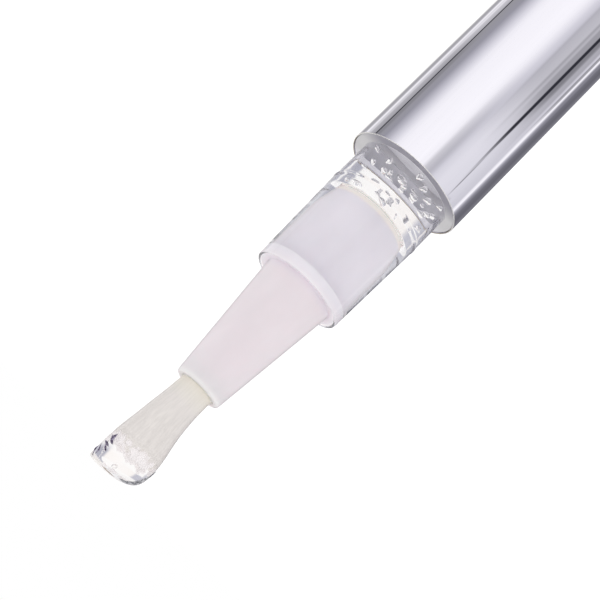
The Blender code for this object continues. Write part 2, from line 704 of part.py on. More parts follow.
def make_nut():
    outer = REAR_BORE - PRESS_GAP
    bore = SCREW_RADIUS + THREAD_GAP
    profile = [
        (0, NUT_TOP),
        (outer - NUT_CHAMFER, NUT_TOP),
        (outer, NUT_TOP - NUT_CHAMFER),
        (outer, NUT_BOTTOM + NUT_CHAMFER),
        (outer - NUT_CHAMFER, NUT_BOTTOM),
        (0, NUT_BOTTOM),
    ]
    look = finish("nut_moulding", (0.85, 0.86, 0.88), 0.35)
    nut = turned("feed_nut", profile, look)
    tap = thread_blank(
        "thread_tap", SCREW_CORE + THREAD_GAP, bore, THREAD_FOOT_WIDTH + 2 * THREAD_GAP,
        THREAD_CREST_WIDTH + 2 * THREAD_GAP, NUT_BOTTOM - CUT_OVERRUN, NUT_TOP + CUT_OVERRUN,
    )
    notch_size = (2 * outer + CUT_OVERRUN, NUT_NOTCH_WIDTH, NUT_NOTCH_DEPTH + CUT_OVERRUN)
    notch_middle = NUT_BOTTOM + (NUT_NOTCH_DEPTH - CUT_OVERRUN) / 2
    notch = box("nut_notch", notch_size, (0, 0, notch_middle))
    cut(nut, tap, notch)
    return nut


def make_drive_sleeve():
    root_bottom = STEM_TOP - DRIVE_ROOT_LENGTH
    flange_radius = DRIVE_RADIUS + DRIVE_FLANGE_WALL
    flange_bottom = root_bottom - DRIVE_FLANGE_LENGTH
    profile = [
        (0, DRIVE_TOP),
        (DRIVE_RADIUS, DRIVE_TOP),
        (DRIVE_RADIUS, root_bottom),
        (flange_radius, root_bottom),
        (flange_radius, flange_bottom),
        (0, flange_bottom),
    ]
    look = finish("drive_moulding", (0.80, 0.81, 0.84), 0.35)
    sleeve = turned("drive_sleeve", profile, look, KNOB_AXIS)
    reach = DRIVE_RADIUS + (STEM_RADIUS - STEM_BORE) / 2
    for number in range(DRIVE_SPLINE_COUNT):
        join(sleeve, drive_spline(f"drive_spline_{number}", number, reach, DRIVE_SPLINE_WIDTH, SEAT_GAP))
    grip_bottom = DRIVE_TOP - DRIVE_GRIP_LENGTH
    clearance = cylinder("drive_bore", DRIVE_BORE, flange_bottom - CUT_OVERRUN, grip_bottom)
    outline = flatted_outline(DRIVE_BORE, SCREW_FLAT_WIDTH / 2 + RUNNING_GAP)
    grip = prism("drive_grip", outline, grip_bottom - CUT_OVERRUN, DRIVE_TOP + CUT_OVERRUN)
    cut(sleeve, clearance, grip)
    return sleeve


def drive_spline(name, number, reach, width, shorter):
    """One key on the drive sleeve's root, or the slot for it in the knob core."""
    bottom = STEM_TOP - DRIVE_ROOT_LENGTH - CUT_OVERRUN / 2
    top = STEM_TOP - DRIVE_ROOT_LENGTH / 2 - shorter
    angle = 2 * math.pi * number / DRIVE_SPLINE_COUNT
    inner = DRIVE_BORE + DRIVE_WALL / 2
    size = (reach - inner, width, top - bottom)
    return box(name, size, ((reach + inner) / 2, 0, (top + bottom) / 2), angle)


def make_ratchet():
    """Inside teeth on the fixed ring, and a ring with two sprung arms that turns within them."""
    outer = REAR_BORE - PRESS_GAP
    hub_bore = DRIVE_RADIUS + PRESS_GAP
    room = outer - hub_bore
    root = outer - room * RATCHET_WALL_SHARE
    tip = root - room * RATCHET_TOOTH_SHARE
    teeth = []
    for tooth in range(RATCHET_TEETH):
        angle = 2 * math.pi * tooth / RATCHET_TEETH
        step = 2 * math.pi / RATCHET_TEETH
        teeth.append(polar(tip, angle))
        teeth.append(polar(root, angle + step / 8))
        teeth.append(polar((root + tip) / 2, angle + step / 2))
    look = finish("ratchet_moulding", (0.30, 0.31, 0.34), 0.4)
    ring = cylinder("ratchet_ring", outer, RATCHET_BOTTOM, RATCHET_TOP, look)
    cut(ring, prism("ratchet_teeth", teeth, RATCHET_BOTTOM - CUT_OVERRUN, RATCHET_TOP + CUT_OVERRUN))
    hub = hub_bore + room * CLICK_HUB_SHARE
    arm = room * CLICK_ARM_SHARE
    hub_profile = [
        (hub, RATCHET_TOP),
        (hub, RATCHET_BOTTOM),
        (hub_bore, RATCHET_BOTTOM),
        (hub_bore, RATCHET_TOP),
    ]
    look = finish("click_moulding", (0.86, 0.86, 0.84), 0.35)
    click = turned("click_ring", hub_profile, look, KNOB_AXIS)
    reach = tip - RUNNING_GAP
    for number in range(CLICK_ARM_COUNT):
        start = CLICK_ARM_START + 2 * math.pi * number / CLICK_ARM_COUNT
        outside, inside = [], []
        for point in range(CLICK_ARM_POINTS):
            share = point / (CLICK_ARM_POINTS - 1)
            edge = hub + (reach - hub) * share
            outside.append(polar(edge, start + CLICK_ARM_SWEEP * share))
            inside.append(polar(edge - arm * (1 - share / 2), start + CLICK_ARM_SWEEP * share))
        outline = outside + inside[::-1]
        bottom = RATCHET_BOTTOM + SEAT_GAP
        join(click, prism(f"click_arm_{number}", outline, bottom, RATCHET_TOP - SEAT_GAP))
    return ring, click


def make_retaining_ring():
    """An open snap ring, half in the stem's groove and half in the reservoir body's."""
    middle = STEM_TOP - SNAP_RING_INSET
    inner = snap_groove_floor() + PRESS_GAP
    outer = inner + SNAP_RING_WALL
    half_gap = SNAP_RING_GAP_ANGLE / 2
    angles = [
        half_gap + (2 * math.pi - SNAP_RING_GAP_ANGLE) * point / (SNAP_RING_POINTS - 1)
        for point in range(SNAP_RING_POINTS)
    ]
    outline = [polar(outer, angle) for angle in angles]
    outline += [polar(inner, angle) for angle in reversed(angles)]
    look = finish("spring_steel", (0.62, 0.62, 0.64), 0.3, metallic=1.0)
    bottom = middle - SNAP_RING_LENGTH / 2
    return prism("retaining_ring", outline, bottom, middle + SNAP_RING_LENGTH / 2, look, KNOB_AXIS)


def snap_groove_floor():
    return STEM_RADIUS - SNAP_RING_WALL * SNAP_RING_GROOVE_SHARE - PRESS_GAP


def make_knob():
    collar_top = BARREL_BOTTOM + BODY_REAR_INSET - SEAT_GAP
    root_bottom = STEM_TOP - DRIVE_ROOT_LENGTH
    groove_half = SNAP_RING_LENGTH / 2 + SEAT_GAP
    groove_middle = STEM_TOP - SNAP_RING_INSET
    flange_pocket = DRIVE_RADIUS + DRIVE_FLANGE_WALL + PRESS_GAP
    profile = [
        (STEM_RADIUS - BARREL_EDGE, STEM_TOP),
        (STEM_RADIUS, STEM_TOP - BARREL_EDGE),
        (STEM_RADIUS, groove_middle + groove_half),
        (snap_groove_floor(), groove_middle + groove_half),
        (snap_groove_floor(), groove_middle - groove_half),
        (STEM_RADIUS, groove_middle - groove_half),
        (STEM_RADIUS, collar_top),
        (KNOB_CORE_RADIUS - RUNNING_GAP, collar_top),
        (KNOB_CORE_RADIUS - RUNNING_GAP, KNOB_TOP),
        (KNOB_CORE_RADIUS, KNOB_TOP - RUNNING_GAP),
        (KNOB_CORE_RADIUS, KNOB_BOTTOM),
        (CORE_CAVITY, KNOB_BOTTOM),
        (CORE_CAVITY, PLUG_TOP + SEAT_GAP + KNOB_WELL_TAPER),
        (flange_pocket, PLUG_TOP + SEAT_GAP + KNOB_WELL_TAPER * 2),
        (flange_pocket, root_bottom + SEAT_GAP),
        (STEM_BORE, root_bottom + SEAT_GAP),
        (STEM_BORE, STEM_TOP),
    ]
    core = turned("knob_core", profile, finish("knob_core_moulding", (0.14, 0.14, 0.16), 0.4), KNOB_AXIS)
    reach = DRIVE_RADIUS + (STEM_RADIUS - STEM_BORE) / 2 + PRESS_GAP
    for number in range(DRIVE_SPLINE_COUNT):
        width = DRIVE_SPLINE_WIDTH + 2 * PRESS_GAP
        cut(core, drive_spline(f"spline_slot_{number}", number, reach, width, 0))
    sleeve_profile = [
        (BARREL_RADIUS - BARREL_EDGE, KNOB_TOP),
        (BARREL_RADIUS, KNOB_TOP - BARREL_EDGE),
        (BARREL_RADIUS, KNOB_BOTTOM + BARREL_EDGE),
        (BARREL_RADIUS - BARREL_EDGE, KNOB_BOTTOM),
        (KNOB_BORE, KNOB_BOTTOM),
        (KNOB_BORE, KNOB_TOP),
    ]
    look = finish("anodised_knob", (0.86, 0.85, 0.89), 0.12, metallic=1.0)
    turned("knob_sleeve", sleeve_profile, look, KNOB_AXIS, steps=BARREL_STEPS)
    return core


def make_end_plug():
    well = PLUG_SPIGOT - PLUG_WALL
    profile = [
        (0, PLUG_FLANGE),
        (well, PLUG_FLANGE),
        (well, PLUG_TOP),
        (PLUG_SPIGOT - PLUG_EDGE, PLUG_TOP),
        (PLUG_SPIGOT, PLUG_TOP - PLUG_EDGE),
        (PLUG_SPIGOT, PLUG_FLANGE),
        (BARREL_RADIUS - BARREL_EDGE, PLUG_FLANGE),
        (BARREL_RADIUS - BARREL_EDGE, PLUG_EDGE),
        (BARREL_RADIUS - BARREL_EDGE - PLUG_EDGE, 0),
        (0, 0),
    ]
    look = finish("end_plug_moulding", (0.78, 0.78, 0.82), 0.3)
    return turned("end_plug", profile, look, KNOB_AXIS, steps=BARREL_STEPS)


def settle():
    """Applies the modifiers of each part and shades its round faces smooth."""
    graph = bpy.context.evaluated_depsgraph_get()
    solids = {
        piece: bpy.data.meshes.new_from_object(piece.evaluated_get(graph))
        for piece in PARTS.objects
        if piece.type == "MESH"
    }
    for piece, mesh in solids.items():
        piece.modifiers.clear()
        piece.data = mesh
        mesh.name = piece.name
        mesh.shade_smooth()
        mesh.set_sharp_from_angle(angle=SHARP_ANGLE)


for leftover in list(bpy.data.objects):
    bpy.data.objects.remove(leftover)
PARTS = collection("dosing_pen")
CUTTERS = collection("cutters", hidden=True)
KNOB_AXIS = axis_empty("knob_axis", KNOB_TOP)
SCREW_AXIS = axis_empty("screw_axis", DRIVE_TOP, KNOB_AXIS)
PISTON_AXIS = axis_empty("piston_axis", PISTON_BOTTOM)

make_barrel()
make_reservoir()
make_brush_holder()
make_tuft_collar()
make_feed_tube()
make_tuft()
make_gel()
make_piston()
make_feed_screw()
make_nut()
make_drive_sleeve()
make_ratchet()
make_retaining_ring()
make_knob()
make_end_plug()
settle()
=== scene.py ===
"""Dressed twist pen: mirror barrel, clear neck full of gel, frosted brush holder and gel-wetted bristles."""

import math
import random

import bmesh
import bpy
from bpy.props import FloatProperty, FloatVectorProperty, IntProperty, PointerProperty
from mathutils import Matrix, Vector


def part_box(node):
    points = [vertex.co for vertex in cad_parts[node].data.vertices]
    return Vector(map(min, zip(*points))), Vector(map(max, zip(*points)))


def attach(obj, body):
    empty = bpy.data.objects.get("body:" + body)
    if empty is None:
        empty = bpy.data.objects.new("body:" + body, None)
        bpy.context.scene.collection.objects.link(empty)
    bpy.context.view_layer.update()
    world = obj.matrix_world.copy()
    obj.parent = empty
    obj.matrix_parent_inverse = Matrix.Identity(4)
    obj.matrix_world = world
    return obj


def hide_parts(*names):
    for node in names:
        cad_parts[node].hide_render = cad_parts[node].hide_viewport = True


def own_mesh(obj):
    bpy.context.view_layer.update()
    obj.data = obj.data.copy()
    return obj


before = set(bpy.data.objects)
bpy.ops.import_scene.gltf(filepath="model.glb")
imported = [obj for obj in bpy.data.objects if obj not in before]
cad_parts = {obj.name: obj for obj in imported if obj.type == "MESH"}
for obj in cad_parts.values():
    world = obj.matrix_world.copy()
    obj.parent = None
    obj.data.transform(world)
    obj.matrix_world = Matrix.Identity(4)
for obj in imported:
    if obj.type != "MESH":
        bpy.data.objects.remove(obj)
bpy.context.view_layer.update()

bl_info = {
    "name": "Twist pen with gel brush",
    "version": (1, 0, 0),
    "blender": (4, 5, 0),
    "location": "View3D > Sidebar > Twist Pen",
    "description": "Builds the looks of a twist-feed gel pen around its packed frame",
    "category": "Object",
}

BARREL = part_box("barrel_sleeve")
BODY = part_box("reservoir_body")
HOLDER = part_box("brush_holder")
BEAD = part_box("gel_tip")
NECK_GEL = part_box("gel_neck")
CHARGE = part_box("gel_charge")
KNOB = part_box("knob_sleeve")
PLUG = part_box("end_plug")
MM = 0.001

# Refractive indices; a bubble's is that of air seen from inside the gel
PLASTIC_INDEX = 1.5
GEL_INDEX = 1.40
BUBBLE_INDEX = 1 / 1.42

# The camera's right side and back, as directions in the pen's frame
CAMERA_RIGHT = (-0.7068, -0.2104, -0.6755)
CAMERA_BACK = (0, -0.9548, 0.2974)

# Heights of the brush holder's rear end and flange
NOSE = BARREL[1].z + 3.98 * MM
NOSE_LENGTH = 2.0 * MM
FLANGE = BARREL[1].z + 12.8 * MM

# Outline of the neck, by distance past the barrel's rim
NECK_RADIUS = 4.445 * MM
NECK_STRAIGHT = 4.3 * MM
LIP_RADIUS = 4.185 * MM
SHOULDER_DEPTH = 0.08 * MM
SHOULDER_HEIGHT = 1.5 * MM
SHOULDER_GAP = 0.02 * MM
BASE_FILLET = 0.05 * MM
BEAD_PLACE = 3.65 * MM
BEAD_HALF = 0.35 * MM
BEAD_PROUD = 0.07 * MM

# How far a line of sight drops for each length it runs in the gel
SIGHT_DROP = 0.21

# The brush's half width and its lean to the right, by height over the holder's mouth
BRUSH_WIDTHS = ((0.0, 1.53), (1.35, 1.585), (2.05, 1.635), (2.85, 1.72), (3.65, 1.80), (4.45, 1.92),
                (5.15, 2.03), (5.95, 2.155), (6.75, 2.26), (7.6, 2.30), (9.0, 2.30))
BRUSH_LEANS = ((0.0, 0.02), (2.0, 0.10), (3.5, 0.12), (6.0, 0.02), (7.0, 0.0), (9.0, 0.0))

# The studio round the pen: azimuth from the camera's side and brightness of its bright and dark cards
STUDIO_CARDS = (
    (-180, 1.02), (-174, 0.60), (-168, 0.28), (-158, 0.21), (-138, 0.14), (-125, 0.17), (-117, 0.29),
    (-112, 0.54), (-108, 1.06), (-104, 0.93), (-100, 0.64), (-75, 0.75), (-43, 0.81), (-30, 0.74),
    (-22, 0.63), (-15, 0.71), (-8, 0.84), (0, 0.96), (10, 1.02), (47, 0.98), (56, 0.92), (67, 0.71),
    (77, 0.51), (87, 0.33), (105, 0.33), (113, 0.52), (120.5, 0.60), (124, 0.86), (129, 0.75), (133.6, 1.0),
    (140, 0.44), (149, 0.38),
)

# The card past the end of that round: the azimuths where it starts and is full, and its colour
BACK_CARD = ((149, 170), (1.0, 0.985, 0.955))

# Grey flags before the cards: azimuth, half width, sharp share, band, and depth above and below it
FLAGS = (
    (-166, 8.0, 0.4, "lower", 0.50, 0.05), (-70, 26.0, 0.8, "deep", 0.0, 0.38),
    (-37, 16.0, 0.6, "deep", 0.0, 0.32), (-102, 4.5, 0.5, "lowest", 0.0, 0.55),
    (-77, 7.0, 0.4, "lowest", 0.0, 0.35), (-114.5, 4.0, 0.5, "lowest", 0.0, 0.28),
    (-12, 13.0, 0.3, "lower", 0.27, 0.0), (113, 17.0, 0.7, "lowest", 0.22, 0.0),
    (-67, 14.0, 0.7, "lowest", 0.0, 0.28),
)

# How far down each band starts and ends, as the downward part of a direction
BANDS = {"lower": (0.41, 0.50), "deep": (0.43, 0.495), "lowest": (0.455, 0.49)}
FLAG_COLOUR = (0.03, 0.03, 0.04)

# What shows through the clear pieces, by azimuth from the camera's side
CLEAR_VIEW = (
    (-180, (1.0, 0.97, 0.96)), (-159, (0.98, 0.94, 0.92)), (-154, (0.44, 0.44, 0.52)),
    (-126, (0.40, 0.40, 0.48)), (-112, (0.66, 0.66, 0.72)), (-95, (0.78, 0.78, 0.83)),
    (-84, (0.36, 0.36, 0.43)), (-76, (0.36, 0.36, 0.43)), (-66, (0.75, 0.75, 0.80)),
    (-35, (0.90, 0.90, 0.93)), (0, (0.95, 0.95, 0.96)), (35, (0.92, 0.92, 0.94)),
    (55, (0.76, 0.76, 0.81)), (72, (0.66, 0.66, 0.72)), (88, (0.48, 0.48, 0.55)),
    (100, (0.62, 0.62, 0.68)), (112, (0.74, 0.74, 0.79)), (128, (0.56, 0.56, 0.63)),
    (154, (0.54, 0.54, 0.62)), (159, (0.98, 0.94, 0.92)), (180, (1.0, 0.97, 0.96)),
)

# Brighter parts of that view: high up, then low at the back and far on the right
CLEAR_HIGH = (1.0, 0.985, 0.99)
CLEAR_SKY = (1.0, 0.985, 0.98)

# Gel bubbles as they show on the neck: sideways place, distance past the rim, radius and lean
GEL_BUBBLES = (
    (3.6, 0.4, 0.19, 20), (2.9, 1.7, 0.22, 35), (2.0, 0.9, 0.22, 60), (1.8, 1.9, 0.22, 10),
    (1.3, 1.7, 0.18, 40), (0.1, 1.6, 0.24, 70), (-0.2, 1.8, 0.20, 20), (-1.4, 1.8, 0.23, 100),
    (-0.3, 2.2, 0.17, 80), (-0.6, 0.2, 0.22, 15), (-1.5, 0.6, 0.20, 25), (-2.4, 0.9, 0.22, 40),
    (-3.6, 0.2, 0.16, 30), (-2.7, 2.1, 0.22, 80), (-3.4, 1.2, 0.23, 20), (-3.1, 1.6, 0.17, 60),
)

# Flat bubbles that lie across the neck near the plug
GEL_LEAVES = (
    (3.4, 3.5, 0.18, 30), (2.7, 3.9, 0.24, 10), (1.7, 3.1, 0.26, 0), (0.3, 3.3, 0.22, 40),
    (0.1, 4.0, 0.30, 75), (-0.7, 3.2, 0.24, 90), (-1.4, 4.0, 0.24, 70), (-2.1, 3.5, 0.22, 10),
    (-0.3, 3.6, 0.24, 30), (0.8, 3.7, 0.20, 60),
)

# Ridges on the gel bead, coloured with painted dark reflections: half thickness, then places sideways, in
# depth and over the holder's mouth
GEL_FOLDS = (
    (0.13, (1.79, -1.37, 7.0), (1.84, -1.32, 7.4), (1.66, -1.56, 7.8)),
    (0.12, (2.05, -0.95, 7.2), (1.75, -1.45, 7.7), (1.52, -1.68, 7.9)),
    (0.11, (2.14, -0.75, 7.9), (1.95, -1.15, 8.0), (1.60, -1.60, 8.2)),
    (0.09, (1.95, -1.17, 8.05), (1.72, -1.45, 8.4), (1.50, -1.66, 8.6)),
    (0.08, (2.18, -0.60, 8.2), (1.96, -1.10, 8.8), (1.92, -0.95, 9.15)),
    (0.10, (2.22, -0.50, 8.5), (2.18, -0.60, 8.9), (1.88, -0.40, 9.28)),
)

# The line along the bead's top and the crescent down its left side, in the same form, also coloured with
# painted reflections
FRONT_LINE = ((0.035, (1.2, -0.1, 9.34), (0.46, -0.3, 9.37), (-0.34, -0.45, 9.34)),)
CRESCENT = (
    (0.10, (-0.6, -0.9, 9.24), (-1.2, -0.9, 9.08), (-1.7, -0.8, 8.75)),
    (0.16, (-1.1, -0.95, 9.05), (-1.72, -0.9, 8.65), (-2.08, -0.7, 8.1)),
    (0.13, (-1.6, -1.05, 8.6), (-1.98, -0.9, 8.1), (-2.16, -0.7, 7.5)),
    (0.06, (-1.98, -0.8, 8.0), (-2.18, -0.6, 7.5), (-2.25, -0.4, 6.8)),
)


def length(name, description, default):
    return FloatProperty(name=name, description=description, default=default, unit="LENGTH", precision=5)


def paint(name, description, default):
    return FloatVectorProperty(
        name=name, description=description, default=default, subtype="COLOR", size=3, min=0, max=1
    )


def share(name, description, default):
    return FloatProperty(name=name, description=description, default=default, min=0, max=1, subtype="FACTOR")


class PenSizes(bpy.types.PropertyGroup):
    barrel_radius: length("Barrel radius", "Outside of the metal sleeve", BARREL[1].x)
    barrel_wall: length("Barrel wall", "Thickness of the metal sleeve", 0.11 * MM)
    skirt_radius: length("Skirt radius", "Outside of the holder's plug in the neck", 2.65 * MM)
    nose_radius: length("Nose radius", "The plug where it meets the gel", 2.25 * MM)
    flange_radius: length("Flange radius", "Outside of the holder's flange in the lip", 3.95 * MM)
    cone_root_radius: length("Cone root radius", "Holder's cone where it leaves the flange", 3.265 * MM)
    cone_tip_radius: length("Cone tip radius", "Holder's cone at the bristles", 2.15 * MM)
    fibre_radius: length("Fibre radius", "Half the thickness of one bristle", 0.034 * MM)
    fibre_count: IntProperty(name="Fibres", description="Bristles in the tuft", default=900, min=100)
    gel_bore: length("Gel radius", "Radius of the gel in the clear neck", 2.75 * MM)


class PenColours(bpy.types.PropertyGroup):
    metal: paint("Metal", "Mirror aluminium", (0.93, 0.925, 0.975))
    cut_edge: paint("Cut edge", "Bare metal at the sleeve's mouth", (0.96, 0.95, 0.93))
    lining: paint("Lining", "Satin body inside the sleeve", (0.93, 0.92, 0.98))
    shoulder: paint("Shoulder", "Satin face round the neck's root", (0.61, 0.605, 0.615))
    clear: paint("Clear moulding", "Clear plastic of the neck", (0.985, 0.985, 0.99))
    gel: paint("Gel", "Clear gel", (0.99, 0.99, 0.985))
    plug: paint("Plug", "Frosted plastic inside the neck", (0.825, 0.79, 0.85))
    cone: paint("Cone", "Frosted plastic of the cone", (0.875, 0.805, 0.84))
    fibre: paint("Fibre", "Bristles wet with gel", (0.855, 0.807, 0.78))
    bond: paint("Bond", "Resin that holds the bristles", (0.87, 0.83, 0.73))


class StudioSettings(bpy.types.PropertyGroup):
    lens: FloatProperty(name="Lens", description="Camera's focal length", default=93.5, unit="CAMERA")
    camera_back: length("Camera distance", "How far the camera stands in front", 118.21 * MM)
    camera_up: length("Camera height", "How far the camera is above the barrel's rim", 50.09 * MM)
    camera_side: length("Camera side", "How far the camera is to the left", 0.756 * MM)
    floor_radius: length("Floor radius", "Radius of the pale floor", 900 * MM)
    floor: paint("Floor", "Pale floor and background", (0.9, 0.9, 0.9))
    daylight: share("Plain light", "Level of the even light on matt surfaces", 0.95)


class Nodes:
    """Short ways to add shader nodes and join them."""

    def __init__(self, tree):
        self.tree = tree

    def add(self, kind, **settings):
        made = self.tree.nodes.new(kind)
        for name, value in settings.items():
            setattr(made, name, value)
        return made

    def wire(self, source, target):
        self.tree.links.new(source, target)

    def feed(self, target, value):
        """Gives a socket its value, which is a number, a colour or another node's output."""
        if isinstance(value, bpy.types.NodeSocket):
            self.wire(value, target)
        else:
            target.default_value = value if isinstance(value, (int, float)) else (*value, 1)

    def math(self, operation, *values):
        """One step of arithmetic on numbers or sockets."""
        made = self.add("ShaderNodeMath", operation=operation)
        for target, value in zip(made.inputs, values):
            self.feed(target, value)
        return made.outputs[0]

    def smooth(self, source, low, high):
        """Climbs softly from 0 at the low value to 1 at the high one."""
        made = self.add("ShaderNodeMapRange", interpolation_type="SMOOTHSTEP")
        for target, value in (("Value", source), ("From Min", low), ("From Max", high)):
            self.feed(made.inputs[target], value)
        return made.outputs["Result"]

    def mix(self, share_source, first, second):
        """Blends two colours, each a colour value or a socket."""
        made = self.add("ShaderNodeMix", data_type="RGBA")
        for number, value in ((0, share_source), (6, first), (7, second)):
            self.feed(made.inputs[number], value)
        return made.outputs[2]

    def ramp(self, source, *stops):
        """Stops are (place, colour)."""
        made = self.add("ShaderNodeValToRGB")
        marks = made.color_ramp.elements
        while len(marks) < len(stops):
            marks.new(0.5)
        for mark, (place, color) in zip(marks, stops):
            mark.position = place
            mark.color = (*color, 1)
        self.wire(source, made.inputs["Fac"])
        return made.outputs["Color"]


class Finish(Nodes):
    """A procedural material built on one Principled shader, with places measured in millimetres."""

    def __init__(self, name, **values):
        self.material = bpy.data.materials.new(name)
        self.material.use_nodes = True
        super().__init__(self.material.node_tree)
        self.shader = self.tree.nodes["Principled BSDF"]
        for socket, value in values.items():
            self.set(socket, value)

    def set(self, socket, value):
        name = socket.replace("_", " ").title().replace("Ior", "IOR").replace("Base", "Base Color")
        self.shader.inputs[name].default_value = value

    def spot(self, stretch=(1, 1, 1)):
        """Coordinates in millimetres, stretched along each axis."""
        place = self.add("ShaderNodeTexCoord")
        scale = self.add("ShaderNodeMapping")
        scale.inputs["Scale"].default_value = [1000 * part for part in stretch]
        self.wire(place.outputs["Object"], scale.inputs["Vector"])
        return scale.outputs["Vector"]

    def noise(self, scale, detail=3.0, stretch=(1, 1, 1), distortion=0.0):
        made = self.add("ShaderNodeTexNoise")
        for target, value in (("Scale", scale), ("Detail", detail), ("Distortion", distortion)):
            made.inputs[target].default_value = value
        self.wire(self.spot(stretch), made.inputs["Vector"])
        return made.outputs["Fac"]

    def axis(self, name):
        """One coordinate in millimetres."""
        split = self.add("ShaderNodeSeparateXYZ")
        self.wire(self.spot(), split.inputs["Vector"])
        return split.outputs[name]

    def height(self, low, high):
        """0 at the low height and 1 at the high one, both in metres."""
        return self.between(self.axis("Z"), low / MM, high / MM)

    def between(self, source, low, high, to_low=0, to_high=1):
        made = self.add("ShaderNodeMapRange")
        limits = {"Value": source, "From Min": low, "From Max": high, "To Min": to_low, "To Max": to_high}
        for target, value in limits.items():
            self.feed(made.inputs[target], value)
        return made.outputs["Result"]

    def shades(self, source, color, darkest, lightest, low=0.3):
        """The colour from its darkest tone to its lightest, by a noise."""
        return self.ramp(source, (low, tone(color, darkest)), (0.7, tone(color, lightest)))

    def color(self, source):
        self.wire(source, self.shader.inputs["Base Color"])

    def roughness(self, source, low, high):
        self.wire(self.between(source, 0.3, 0.7, low, high), self.shader.inputs["Roughness"])

    def bump(self, source, depth_mm, strength=1.0):
        made = self.add("ShaderNodeBump")
        made.inputs["Strength"].default_value = strength
        made.inputs["Distance"].default_value = depth_mm * MM
        self.wire(source, made.inputs["Height"])
        self.wire(made.outputs["Normal"], self.shader.inputs["Normal"])

    def surface(self, source):
        self.wire(source, self.tree.nodes["Material Output"].inputs["Surface"])


def let_light_in(made):
    """Light for matt surfaces passes the clear piece unbent, so that what it covers is lit evenly."""
    path = made.add("ShaderNodeLightPath").outputs
    either = made.math("MAXIMUM", path["Is Shadow Ray"], path["Is Diffuse Ray"])
    through = made.add("ShaderNodeBsdfTransparent")
    mixed = made.add("ShaderNodeMixShader")
    for target, source in zip(mixed.inputs, (either, made.shader.outputs[0], through.outputs[0])):
        made.wire(source, target)
    made.surface(mixed.outputs[0])


def tone(color, factor):
    return tuple(min(1.0, part * factor) for part in color)


def mirror_metal(name, color):
    """Bright anodised aluminium with faint drawing lines along the tube."""
    made = Finish(name, metallic=1.0)
    lines = made.noise(5.0, 2.0, stretch=(1, 1, 0.03))
    made.color(made.shades(lines, color, 0.985, 1))
    made.roughness(made.noise(0.9, 3.0, stretch=(1, 1, 0.2)), 0.012, 0.035)
    made.bump(lines, 0.0003, 0.2)
    return made.material


def cut_metal(color):
    """The sleeve's cut edge, with fine turning marks."""
    made = Finish("cut_metal", metallic=0.85)
    marks = made.noise(9.0, 2.0, stretch=(1, 1, 6))
    made.color(made.shades(marks, color, 0.94, 1))
    made.roughness(marks, 0.22, 0.34)
    made.bump(marks, 0.002, 0.3)
    return made.material


def gap_shadow_line():
    """Painted gap shadow: a brown line along the inside of the cut edge."""
    made = Finish("gap_shadow_line", roughness=0.3, metallic=0.4)
    made.color(made.ramp(made.noise(3.0), (0.3, (0.23, 0.17, 0.09)), (0.7, (0.42, 0.33, 0.19))))
    return made.material


def clear_plastic(color):
    """Clear moulding with a slight ripple, so that what is behind it bends."""
    made = Finish("clear_plastic", base=(*color, 1), transmission_weight=1.0, ior=PLASTIC_INDEX)
    ripple = made.noise(0.45, 2.0, stretch=(1, 1, 0.6), distortion=0.4)
    made.roughness(made.noise(1.2), 0.0, 0.03)
    made.bump(ripple, 0.018, 0.35)
    let_light_in(made)
    return made.material


def satin_lining(color, shoulder):
    """Satin plastic inside the sleeve, and the shoulder round the neck's root, with painted shade on its
    near side and painted light on its far side.
    """
    made = Finish("satin_lining")
    cloud = made.noise(0.8, 4.0)
    inside = made.shades(cloud, color, 0.80, 0.95)
    top = made.height(BARREL[1].z - 0.7 * MM, BARREL[1].z - 0.3 * MM)
    face, deep = shoulder, made.axis("Y")
    # Painted shade and light on the shoulder's face: darker towards the camera's side, lighter on the far
    # side
    for first, last, shade in ((-1.0, -3.2, (0.275, 0.265, 0.315)), (1.0, 3.2, (0.74, 0.73, 0.80))):
        face = made.mix(made.between(deep, first, last), face, shade)
    made.color(made.mix(top, inside, face))
    made.roughness(cloud, 0.35, 0.5)
    made.bump(made.noise(12.0), 0.004, 0.3)
    return made.material


def clear_gel(name, color, ior):
    """Clear gel; the index is taken against what it touches."""
    made = Finish(name, base=(*color, 1), transmission_weight=1.0, roughness=0.0, ior=ior)
    made.bump(made.noise(0.8, 2.0, distortion=0.6), 0.06, 0.35)
    let_light_in(made)
    return made.material


def bubble_skin():
    """The wall of an air bubble in the gel."""
    made = Finish("bubble_skin", base=(1, 1, 1, 1), transmission_weight=1.0, roughness=0.0, ior=BUBBLE_INDEX)
    made.bump(made.noise(5.0, 1.0), 0.01, 0.3)
    let_light_in(made)
    return made.material


def ridge_painted_reflection(name, dark, light):
    """Gel heaped in a thin opaque ridge, coloured with painted reflections streaked from a dark colour to a
    light one.
    """
    made = Finish(name, ior=1.3)
    streaks = made.noise(6.0, 2.0)
    made.color(made.ramp(streaks, (0.42, dark), (0.62, light)))
    made.roughness(streaks, 0.05, 0.2)
    made.bump(streaks, 0.02, 0.4)
    return made.material


